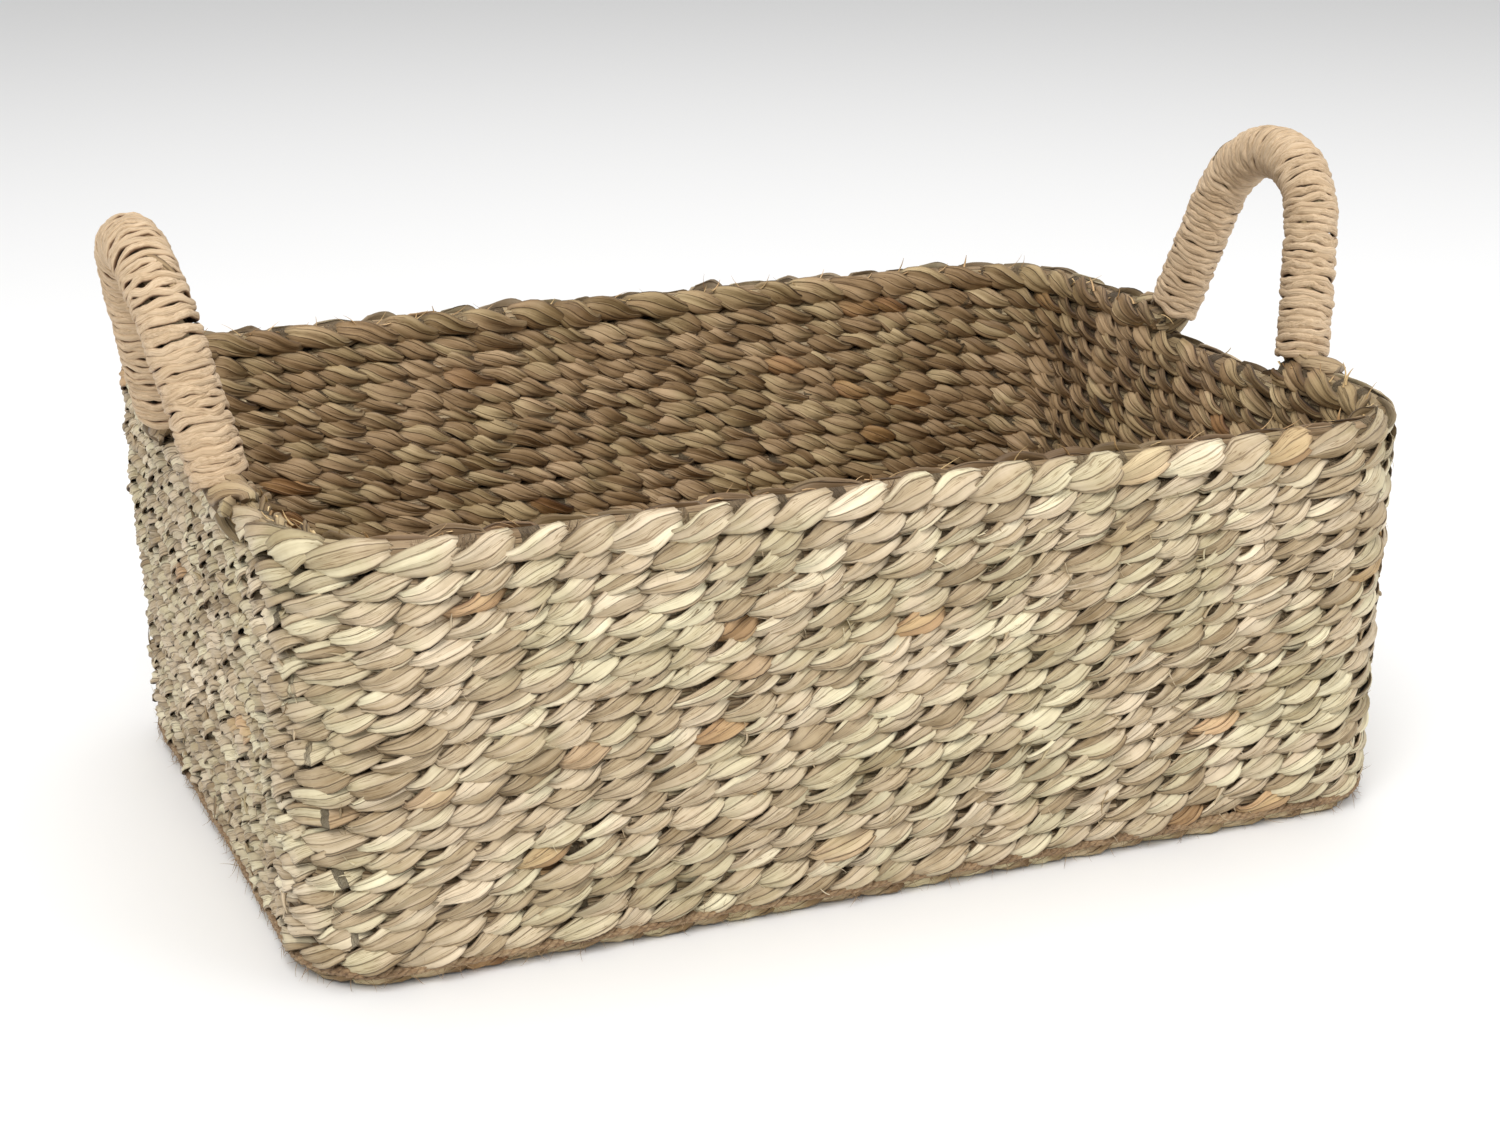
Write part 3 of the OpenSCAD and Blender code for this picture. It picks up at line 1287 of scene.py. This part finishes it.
@dataclass
class Rim:
    """The heavier last turn, broken at the handles.

    Attributes:
        sizes: Sizes of the plait.
        corner: Outer corner radius.
        overrun: How far each length runs on under a handle's foot.
    """

    sizes: PlaitSizes = field(
        default_factory=lambda: PlaitSizes(
            width=0.0130,
            height=0.0096,
            pitch=0.050,
            leaf=0.0056,
            cord=0.0054,
            leaf_thick=0.0011,
            cord_thick=0.0014,
            crease=0.0012,
            wave=0.0016,
            rise=0.74,
            heart_broad=0.0044,
            heart_deep=0.0044,
            samples=26,
            corners=18,
        )
    )
    corner: float = 0.047
    overrun: float = 0.004

    def build(self, material: bpy.types.Material) -> list[list[Vector]]:
        """Plaits the front and the back length, and gives back their middle lines."""
        tree = PlaitTree("rim_plait", self.sizes, material, closed=False)
        low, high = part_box("rim_front")
        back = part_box("rim_back")
        inset = self.sizes.width
        depth = back[1].y - low.y
        middle = (low.z + high.z) / 2
        turn = rounded_path(high.x - low.x - inset, depth - inset, self.corner - inset / 2, middle)
        edge_x = turn[0].x
        front_end, back_end = high.y + self.overrun, back[0].y - self.overrun
        half = len(turn) // 2
        front = [Vector((-edge_x, front_end, middle)), *turn[half:], Vector((edge_x, front_end, middle))]
        behind = [Vector((edge_x, back_end, middle)), *turn[:half], Vector((-edge_x, back_end, middle))]
        for node, path, seed in (("rim_front", front, 5), ("rim_back", behind, 9)):
            settle(tree.plait(node + "_plait", path, seed), "rim_plait", "basket", node)
        return [front, behind]


@dataclass
class Base:
    """The flat turns of the base round the starting fold of the plait.

    Attributes:
        sizes: Sizes of the plait.
        turns: How many turns lie round the fold.
        corner: Outer corner radius of the outermost turn.
        tightest: Smallest radius that a turn's middle line bends to.
    """

    sizes: PlaitSizes = field(
        default_factory=lambda: PlaitSizes(
            width=0.0134,
            height=0.0066,
            leaf=0.0052,
            cord=0.0052,
            leaf_thick=0.0018,
            cord_thick=0.0018,
            wave=0.0005,
            rise=0.95,
            heart_broad=0.0064,
            heart_deep=0.0007,
            samples=18,
            corners=12,
        )
    )
    turns: int = 9
    corner: float = 0.027
    tightest: float = 0.004

    def build(self, material: bpy.types.Material) -> None:
        """Plaits every turn and the starting fold."""
        tree = PlaitTree("base_plait", self.sizes, material, dark=Dark.ABOVE)
        low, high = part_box("base_turn_01")
        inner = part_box("base_turn_02")
        pitch = high.x - inner[1].x
        middle = (low.z + high.z) / 2
        for turn in range(self.turns + 1):
            node = f"base_turn_{turn + 1:02d}" if turn < self.turns else "base_start"
            inset = pitch * (2 * turn + 1)
            radius = max(self.corner - pitch * (turn + 0.5), self.tightest)
            path = rounded_path(high.x - low.x - inset, high.y - low.y - inset, radius, middle)
            settle(tree.plait(node + "_plait", path, seed=400 + turn), "base_plait", "basket", node)


# ---------------------------------------------------------------------------
# Handles
# ---------------------------------------------------------------------------


class WrapTree:
    """The tree that winds raffia ribbon round a path, turn against turn.

    Attributes:
        puff: How far the ribbon stands off or sinks in at random.
        fold: Height of the ribbon's own folds.
        samples: Rings of points in one turn.
    """

    puff: float = 0.0011
    fold: float = 0.0004
    samples: int = 34

    def __init__(self, name: str, material: bpy.types.Material, corners: int = 10) -> None:
        """Builds the tree.

        Args:
            name: The tree's name.
            material: What the ribbon is made of.
            corners: Points round the ribbon.
        """
        shape = ShapeTree(name)
        turns = shape.size("turns", 60)
        rings = shape.size("rings", 2000)
        radius = shape.size("radius", 0.0086)
        broad = shape.size("broad", 0.0016)
        thick = shape.size("thick", 0.0010)
        stray = shape.size("stray", 0.0031)
        seed = shape.size("seed", 1)
        face = shape.direction("face", (1.0, 0.0, 0.0))
        out, up = shape.sides(face)
        angle = shape.along() * turns * TAU
        radial = out * angle.cos() + up * angle.sin()
        turn = angle / TAU
        wander = shape.vector(angle.cos() * 0.9, angle.sin() * 0.9, turn * 1.35 + seed)
        shift = shape.noise(wander, 1.0, 1.5) * stray
        puff = shape.noise(wander + (7.0, 2.0, 0.0), 1.8) * self.puff
        marked = shape.marks(shape.curve(rings), _radial=radial, _turn_no=turn)
        place = shape.position() + shape.tangent() * shift + radial * (radius + puff)
        wound = shape.moved(marked, place)
        turn = shape.kept("_turn_no")
        roll = shape.noise(shape.vector(turn * 3.1, seed, 0.0), 1.0) * 0.5 + 0.18
        tube = shape.tube(shape.blades(wound, shape.kept("_radial", Kind.VECTOR), roll), corners, True)
        around, length = shape.kept("_turn"), shape.kept("along")
        across, over = around.cos(), around.sin()
        swell = shape.noise(shape.vector(length * 55.0, seed, 3.0), 1.0, 2.0)
        fold = shape.noise(shape.vector(across * 1.5, length * 60.0, 1.0), 1.0, 1.0) * over * self.fold
        skin = shape.section(
            _side=across * broad * (swell * 0.9 + 1.0),
            _normal=over * thick * (swell * -0.3 + 1.1) + fold,
        )
        body = shape.marks(
            shape.moved(tube, skin),
            across=across,
            tone=shape.noise(shape.vector(turn * 1.3, seed, 9.0), 1.0) * 0.7 + 0.5,
            # Painted shade mask: 1 on the ribbon's back, 0 on its front face, ramping across its edges.
            deep=over.bent(0.58, -0.05),
        )
        self.tree = shape.finish(body, material)

    def wind(self, name: str, points: list[Vector], pitch: float, **sizes: object) -> bpy.types.Object:
        """Winds ribbon along a path.

        Args:
            name: The piece's name.
            points: The path of the core's middle.
            pitch: Distance from one turn to the next.
            sizes: Tree inputs that differ from the defaults.

        Returns:
            The wrap as a plain mesh.
        """
        turns = round(length_of(points) / pitch)
        given = {"turns": turns, "rings": turns * self.samples, **sizes}
        return baked_shape(name, path_mesh(name, [points], False), self.tree, given)


@dataclass
class Handle:
    """One arched handle: plaited core and raffia wrap.

    Attributes:
        side: Which end of the basket it is on.
        spread: Distance between its feet.
        tilt: Lean of its legs towards each other, in degrees.
        bend: Radius of its bend.
        lean: Lean away from the basket, in degrees.
        tail: How far the core's strands reach into the rim.
        bare: How much of each leg the wrap leaves bare.
        pitch: Distance from one turn of the wrap to the next.
        flex_low: Height where the core starts to bend with the handle.
        flex_high: Height where it moves fully with the handle.
        inset: How far the hinge lies inside the rim's outer edge.
        rooted: How far up a leg the core's own arch starts.
        leg_steps: Steps that the arch takes along one leg.
        bend_steps: Steps that it takes round the bend.
        root_steps: Steps that the core takes from the rim into a leg.
        sizes: Sizes of the core's plait.
    """

    side: Side
    spread: float = 0.092
    tilt: float = 16.0
    bend: float = 0.033
    lean: float = 12.0
    tail: float = 0.020
    bare: float = 0.0058
    pitch: float = 0.0024
    flex_low: float = 0.1362
    flex_high: float = 0.150
    inset: float = 0.003
    rooted: float = 0.011
    leg_steps: int = 12
    bend_steps: int = 24
    root_steps: int = 7
    sizes: PlaitSizes = field(
        default_factory=lambda: PlaitSizes(
            width=0.0160,
            height=0.0120,
            pitch=0.046,
            leaf=0.0056,
            cord=0.0052,
            leaf_thick=0.0022,
            cord_thick=0.0026,
            crease=0.0009,
            wave=0.0003,
            heart_broad=0.0040,
            heart_deep=0.0040,
            samples=26,
            corners=18,
        )
    )

    @property
    def label(self) -> str:
        """The side's name in node and body names."""
        return self.side.name.lower()

    def hinge(self) -> Vector:
        """The middle of the line that the handle turns about."""
        low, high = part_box(f"handle_core_{self.label}")
        y = (low.y + high.y) / 2
        rim_low, rim_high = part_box("rim_front")
        edge = rim_high.x if self.side is Side.RIGHT else -rim_low.x
        return Vector((self.side.value * (edge - self.inset), y, (rim_low.z + rim_high.z) / 2))

    def face(self) -> Vector:
        """The direction that the arch's flat side looks in, away from the basket."""
        lean = math.radians(self.lean)
        return Vector((self.side.value * math.cos(lean), 0.0, -math.sin(lean)))

    def placed(self, points: list[tuple[float, float]]) -> list[Vector]:
        """Turns points of the upright arch into places on the basket.

        Args:
            points: Pairs of a place along Y and a height above the hinge.

        Returns:
            The places, from the near foot to the far one, or back for the right handle.
        """
        lean = math.radians(self.lean)
        rise = Vector((self.side.value * math.sin(lean), 0.0, math.cos(lean)))
        places = [self.hinge() + Vector((0.0, y, 0.0)) + rise * z for y, z in points]
        return places if self.side is Side.LEFT else places[::-1]

    def arch(self, start: float) -> list[tuple[float, float]]:
        """The arch from one leg to the other.

        Args:
            start: How far up each leg it starts and ends.

        Returns:
            Pairs of a place along Y and a height above the hinge.
        """
        tilt = math.radians(self.tilt)
        leg = (self.spread / 2 - self.bend * math.cos(tilt)) / math.sin(tilt)
        points = []
        for step in range(self.leg_steps + 1):
            reach = start + (leg - start) * step / self.leg_steps
            points.append((-self.spread / 2 + reach * math.sin(tilt), reach * math.cos(tilt)))
        middle = leg * math.cos(tilt) - self.bend * math.sin(tilt)
        for step in range(1, self.bend_steps):
            angle = math.pi - tilt - (math.pi - 2 * tilt) * step / self.bend_steps
            points.append((self.bend * math.cos(angle), middle + self.bend * math.sin(angle)))
        return points + [(-y, z) for y, z in points[self.leg_steps :: -1]]

    def core_path(self) -> list[Vector]:
        """The core's middle line, from inside the rim over the arch and back."""
        arch = self.arch(self.rooted)
        foot, (leg_y, leg_z) = -self.spread / 2, arch[0]
        root = [(foot - self.tail, -0.0005), (foot - self.tail * 0.6, 0.0)]
        for step in range(1, self.root_steps):
            t = step / self.root_steps
            start_y = foot - self.tail * 0.45
            y = (1 - t) ** 2 * start_y + 2 * t * (1 - t) * (foot - 0.001) + t * t * leg_y
            root.append((y, t * t * leg_z))
        return self.placed(root + arch + [(-y, z) for y, z in reversed(root)])

    def build(self, core: PlaitTree, wrap: WrapTree) -> None:
        """Plaits the core, winds the wrap and puts both in place."""
        face = tuple(self.face())
        seed = 60 + self.side.value
        piece = core.plait(f"handle_core_{self.label}_plait", self.core_path(), seed, face=face)
        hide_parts(f"handle_core_{self.label}")
        start, end = (0.0, 0.0, self.flex_low), (0.0, 0.0, self.flex_high)
        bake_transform(piece, "basket", f"handle_{self.label}", start=start, end=end)
        LOG.info("%s: %d faces, bends at its feet", piece.name, len(piece.data.polygons))
        path = self.placed(self.arch(self.bare))
        piece = wrap.wind(f"handle_wrap_{self.label}_raffia", path, self.pitch, seed=seed, face=face)
        body = f"handle_{self.label}"
        settle(piece, "raffia_wrap", body, f"handle_wrap_{self.label}")


# ---------------------------------------------------------------------------
# Cord and loose fibres
# ---------------------------------------------------------------------------


class RopeTree:
    """The tree that twists three yarns along a closed path.

    Attributes:
        samples: Rings of points in one full twist.
    """

    samples: int = 10

    def __init__(self, name: str, material: bpy.types.Material, corners: int = 8) -> None:
        """Builds the tree.

        Args:
            name: The tree's name.
            material: What the yarns are made of.
            corners: Points round one yarn.
        """
        shape = ShapeTree(name)
        turns = shape.size("turns", 100)
        rings = shape.size("rings", 1000)
        lay = shape.size("lay", 0.0009)
        yarn = shape.size("yarn", 0.001)
        wave = shape.size("wave", 0.0009)
        copies, strand = shape.strands(shape.curve(rings))
        angle = shape.along() * turns * TAU + strand * (TAU / STRANDS)
        out = shape.tangent().cross((0.0, 0.0, 1.0)).unit()
        lift = angle.sin() * lay + shape.noise(shape.position(), 60.0) * wave
        aside = angle.cos() * lay + shape.noise(shape.position() + (1.0, 2.0, 3.0), 70.0) * wave
        place = shape.position() + out * aside + shape.vector(0.0, 0.0, lift)
        laid = shape.moved(copies, place)
        ring = shape.node("GeometryNodeCurvePrimitiveCircle", Resolution=corners, Radius=1.0)
        girth = yarn * (shape.noise(shape.position(), 300.0) * 0.3 + 1.0)
        tube = shape.node(
            "GeometryNodeCurveToMesh", Curve=laid, Profile_Curve=ring.outputs["Curve"], Scale=girth
        )
        self.tree = shape.finish(tube.outputs["Mesh"], material)

    def twist(self, name: str, points: list[Vector], pitch: float) -> bpy.types.Object:
        """Twists a cord along a closed path.

        Args:
            name: The piece's name.
            points: The path.
            pitch: Length of one full twist.

        Returns:
            The cord as a plain mesh.
        """
        turns = round(length_of(points + points[:1]) / pitch)
        given = {"turns": turns, "rings": turns * self.samples}
        return baked_shape(name, path_mesh(name, [points], True), self.tree, given)


class FibreTree:
    """The tree that lets loose fibres and broken blade tips stand out from paths.

    Attributes:
        depth: How far a root lies in or out at random.
        slide: How far a root lies along its path at random.
        roll: How far a fibre is rolled about its heading, in radians.
        taper: Share of its girth that a fibre loses towards its tip.
    """

    depth: float = 0.001
    slide: float = 0.005
    roll: float = 3.1
    taper: float = 0.85

    def __init__(self, name: str, material: bpy.types.Material) -> None:
        """Builds the tree.

        Args:
            name: The tree's name.
            material: What the fibres are made of.
        """
        shape = ShapeTree(name)
        spacing = shape.size("spacing", 0.004)
        length = shape.size("length", 0.008)
        broad = shape.size("broad", 0.0002)
        thick = shape.size("thick", 0.0001)
        offset = shape.size("offset", 0.0055)
        spread = shape.size("spread", 0.003)
        lift = shape.size("lift", 0.5)
        seed = shape.size("seed", 1)
        curve = shape.node("GeometryNodeMeshToCurve", Mesh=shape.entry.outputs["Geometry"])
        dots = shape.node(
            "GeometryNodeCurveToPoints", {"mode": "LENGTH"}, Curve=curve.outputs[0], Length=spacing
        )
        run = Arrow(shape.tree, dots.outputs["Tangent"])
        out = run.cross((0.0, 0.0, 1.0)).unit()
        index = Value(shape.tree, shape.node("GeometryNodeInputIndex").outputs[0])
        marked = shape.store(dots.outputs["Points"], "tone", shape.chance(index, seed + 4, 0.0, 1.0))
        place = shape.position() + out * (offset + shape.chance(index, seed + 6) * self.depth)
        place = place + shape.vector(0.0, 0.0, shape.chance(index, seed + 1) * spread)
        place = place + run * (shape.chance(index, seed + 2) * self.slide)
        stand = shape.chance(index, seed + 5, 0.15, 1.0) * lift
        heading = run * shape.chance(index, seed + 3) + out * stand
        heading = heading + shape.vector(0.0, 0.0, shape.chance(index, seed + 8, -0.7, 0.7))
        marked = shape.store(marked, "_heading", heading.unit())
        spots = shape.moved(marked, place)
        fibre = shape.node(
            "GeometryNodeCurveQuadraticBezier",
            Resolution=5,
            Start=(0.0, 0.0, 0.0),
            Middle=(0.0, 0.12, 0.5),
            End=(0.0, -0.15, 1.0),
        )
        heading = shape.kept("_heading", Kind.VECTOR)
        aim = shape.node("FunctionNodeAlignRotationToVector", {"axis": "Z"}, Vector=heading)
        angle = shape.chance(index, seed + 9) * self.roll
        roll = shape.node("FunctionNodeAxisAngleToRotation", Axis=(0.0, 0.0, 1.0), Angle=angle)
        turned = shape.node(
            "FunctionNodeRotateRotation",
            {"rotation_space": "LOCAL"},
            Rotation=aim.outputs[0],
            Rotate_By=roll.outputs[0],
        )
        scale = length * shape.chance(index, seed + 10, 0.35, 1.0)
        grown = shape.node(
            "GeometryNodeInstanceOnPoints",
            Points=spots,
            Instance=fibre.outputs[0],
            Rotation=turned.outputs[0],
            Scale=shape.vector(scale, scale, scale),
        )
        real = shape.node("GeometryNodeRealizeInstances", Geometry=grown.outputs[0])
        taper = shape.along() * -self.taper + 1.0
        ring = shape.node("GeometryNodeCurvePrimitiveCircle", Resolution=4, Radius=1.0)
        oval = shape.vector(broad, thick, 1.0)
        flat = shape.node("GeometryNodeTransform", Geometry=ring.outputs["Curve"], Scale=oval)
        tube = shape.node(
            "GeometryNodeCurveToMesh",
            Curve=real.outputs[0],
            Profile_Curve=flat.outputs[0],
            Scale=taper,
            Fill_Caps=True,
        )
        x, y, z = shape.position().parts()
        above = shape.moved(tube.outputs["Mesh"], shape.vector(x, y, z.most(FLOOR_GAP)))
        self.tree = shape.finish(above, material)

    def grow(
        self, name: str, paths: list[list[Vector]], closed: bool = True, **sizes: object
    ) -> bpy.types.Object:
        """Grows fibres along paths.

        Args:
            name: The piece's name.
            paths: The paths.
            closed: Whether each path is a loop.
            sizes: Tree inputs that differ from the defaults.

        Returns:
            The fibres as a plain mesh.
        """
        return baked_shape(name, path_mesh(name, paths, closed), self.tree, sizes)


@dataclass
class Trimmings:
    """The jute cord in the foot seam, and the loose ends that stand out all over.

    Attributes:
        wall: The wall whose turns the loose ends stand out from.
        twist: Length of one twist of the cord.
        tuck: How much tighter than the wall the cord takes a corner.
        crown: How far over the rim's middle line its frays start.
    """

    wall: Wall
    twist: float = 0.009
    tuck: float = 0.0015
    crown: float = 0.0036

    def cord_path(self) -> list[Vector]:
        """The cord's middle line."""
        low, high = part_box("foot_cord")
        across, middle = high.z - low.z, (low.z + high.z) / 2
        corner = self.wall.foot_corner - self.tuck
        return rounded_path(high.x - low.x - across, high.y - low.y - across, corner, middle)

    def build(
        self,
        jute: bpy.types.Material,
        straw: bpy.types.Material,
        fray: bpy.types.Material,
        brims: list[list[Vector]],
    ) -> None:
        """Twists the cord and grows the loose ends.

        Args:
            jute: What the cord and its hairs are made of.
            straw: What the loose ends on the wall are made of.
            fray: What the frays on the rim are made of.
            brims: The middle lines of the rim's lengths.
        """
        cord = RopeTree("cord", jute).twist("foot_cord_jute", self.cord_path(), self.twist)
        settle(cord, "jute_twine", "basket", "foot_cord")
        hair = FibreTree("hair", jute)
        fuzz = hair.grow(
            "foot_cord_hairs",
            [self.cord_path()],
            spacing=0.0008,
            length=0.008,
            broad=0.00016,
            thick=0.00013,
            offset=0.0006,
            spread=0.0016,
            lift=0.25,
            seed=3,
        )
        settle(fuzz, "jute_twine", "basket")
        rows = [self.wall.path(f"wall_row_{row:02d}") for row in range(1, self.wall.rows + 1)]
        ends = FibreTree("loose_ends", straw)
        tips = ends.grow(
            "blade_tips",
            rows,
            spacing=0.026,
            length=0.009,
            broad=0.0011,
            thick=0.00018,
            offset=0.0045,
            spread=0.0022,
            lift=0.12,
            seed=21,
        )
        settle(tips, "wall_plait", "basket")
        wisps = ends.grow(
            "wisps",
            rows,
            spacing=0.012,
            length=0.007,
            broad=0.0002,
            thick=0.00013,
            offset=0.0045,
            lift=0.18,
            seed=33,
        )
        settle(wisps, "wall_plait", "basket")
        frays = FibreTree("frays", fray).grow(
            "rim_frays",
            [[spot + Vector((0.0, 0.0, self.crown)) for spot in line] for line in brims],
            closed=False,
            spacing=0.005,
            length=0.010,
            broad=0.0006,
            thick=0.00016,
            offset=-0.0035,
            spread=0.0010,
            lift=0.3,
            seed=47,
        )
        settle(frays, "rim_plait", "basket")


@dataclass
class Lacing:
    """The twine inside the plait, which keeps its CAD shape."""

    nodes: tuple[str, ...] = (
        "lacing_front",
        "lacing_back",
        "lacing_left",
        "lacing_right",
        "base_lacing",
    )

    def build(self, frame: dict, material: bpy.types.Material) -> None:
        """Gives the CAD nodes their finish.

        Args:
            material: The twine's material.
        """
        for name in self.nodes:
            slots = frame["nodes"][name].material_slots
            for slot in slots:
                slot.material = material
            LOG.info("%s: %d material slots dressed", name, len(slots))


# ---------------------------------------------------------------------------
# Stage
# ---------------------------------------------------------------------------


LAMPS = (
    ("key", (-0.9, -1.3, 1.9), 1.4, 42.0, (1.0, 0.99, 0.97)),
    ("fill", (1.6, -1.2, 1.1), 1.8, 16.0, (0.98, 0.99, 1.0)),
    ("top", (0.2, 0.6, 2.2), 1.6, 18.0, WHITE),
)
"""Name, place, side, power and colour of each light."""


@dataclass
class Studio:
    """Camera, lights and floor.

    Attributes:
        lens: Focal length in millimetres.
        azimuth: Where the camera stands round the basket, in degrees.
        elevation: How far up it stands, in degrees.
        roll: Its roll in degrees.
        distance: Its distance from the basket's foot, in metres.
        aside: How far it is moved to its right.
        above: How far it is moved up.
        sensor: Width of its sensor in millimetres.
        lit: Height that the lights face.
        reach: Half the floor's side, in metres.
        glow: Strength of the light from all round.
        grey: Brightness of the floor.
    """

    lens: float = 64.5
    azimuth: float = -22.7
    elevation: float = 18.1
    roll: float = -0.3
    distance: float = 1.0026
    aside: float = 0.0034
    above: float = 0.0722
    sensor: float = 36.0
    lit: float = 0.08
    reach: float = 6.0
    glow: float = 0.55
    grey: float = 0.86

    def camera(self) -> None:
        """Makes the camera that looks at the basket."""
        around, up_angle = math.radians(self.azimuth), math.radians(self.elevation)
        back = Vector(
            (
                math.sin(around) * math.cos(up_angle),
                -math.cos(around) * math.cos(up_angle),
                math.sin(up_angle),
            )
        )
        right = Vector((0, 0, 1)).cross(back).normalized()
        up = back.cross(right)
        turn = Matrix.Rotation(math.radians(self.roll), 3, back)
        right, up = turn @ right, turn @ up
        data = bpy.data.cameras.new("camera")
        data.lens = self.lens
        data.sensor_width = self.sensor
        data.clip_start = 0.01
        camera = linked("camera", data)
        spot = back * self.distance + right * self.aside + up * self.above
        axes = Matrix((right, up, back)).transposed()
        camera.matrix_world = Matrix.Translation(spot) @ axes.to_4x4()
        bpy.context.scene.camera = camera

    def light(self, name: str, at: tuple, size: float, power: float, colour: tuple) -> None:
        """Adds a square soft light that faces the basket.

        Args:
            name: The light's name.
            at: Where it hangs.
            size: Its side in metres.
            power: Its power in watts.
            colour: Its colour.
        """
        data = bpy.data.lights.new(name, "AREA")
        data.size = size
        data.energy = power
        data.color = colour
        lamp = linked(name, data)
        lamp.location = at
        lamp.rotation_euler = (Vector((0, 0, self.lit)) - Vector(at)).to_track_quat("-Z", "Y").to_euler()

    def build(self) -> None:
        """Sets up camera, lights, surroundings and floor."""
        self.camera()
        bpy.context.scene.view_settings.view_transform = "Standard"
        for lamp in LAMPS:
            self.light(*lamp)
        world = bpy.data.worlds.new("studio")
        world.use_nodes = True
        sky = world.node_tree.nodes["Background"]
        sky.inputs["Color"].default_value = (*WHITE, 1.0)
        sky.inputs["Strength"].default_value = self.glow
        bpy.context.scene.world = world
        mesh = bpy.data.meshes.new("floor")
        corners = [(x * self.reach, y * self.reach, 0) for x, y in ((-1, -1), (1, -1), (1, 1), (-1, 1))]
        mesh.from_pydata(corners, [], [(0, 1, 2, 3)])
        floor = linked("floor", mesh)
        floor.location.z = -0.0005
        paint = Paint("pale_floor")
        paint.shader.inputs["Base Color"].default_value = (self.grey, self.grey, self.grey, 1.0)
        paint.shader.inputs["Roughness"].default_value = 0.9
        mesh.materials.append(paint.material)


def main() -> None:
    """Builds every piece of the basket round its frame."""
    logging.basicConfig(level=logging.INFO, format="%(name)s: %(message)s")
    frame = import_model()
    Studio().build()
    # The third colour of each seagrass finish is painted shade for the dark side of its plait.
    straw = SeagrassFinish("wall_plait", WALL_TONES, (0.68, 0.57, 0.455)).build()
    rim_straw = SeagrassFinish("rim_plait", WALL_TONES, (0.66, 0.55, 0.43), crevice=0.6).build()
    base_straw = SeagrassFinish("base_plait", BASE_TONES, (0.50, 0.39, 0.29), crevice=0.4).build()
    browner = tinted(BASE_TONES, (0.66, 0.60, 0.55))
    core_straw = SeagrassFinish("handle_core_plait", browner, WHITE, crevice=0.6).build()
    raffia, jute = RaffiaFinish().build(), JuteFinish().build()
    wall = Wall()
    wall.build(straw)
    brims = Rim().build(rim_straw)
    Base().build(base_straw)
    wrap = WrapTree("raffia_wrap", raffia)
    for side in Side:
        handle = Handle(side)
        handle.build(PlaitTree(f"core_{handle.label}", handle.sizes, core_straw, False, Dark.NONE), wrap)
    tan = tinted(BASE_TONES, (1.0, 0.82, 0.66))
    fray = SeagrassFinish("frayed_plait", tan, WHITE, crevice=0.2).build()
    Trimmings(wall).build(jute, straw, fray, brims)
    Lacing().build(frame, jute)


if __name__ == "__main__":
    main()
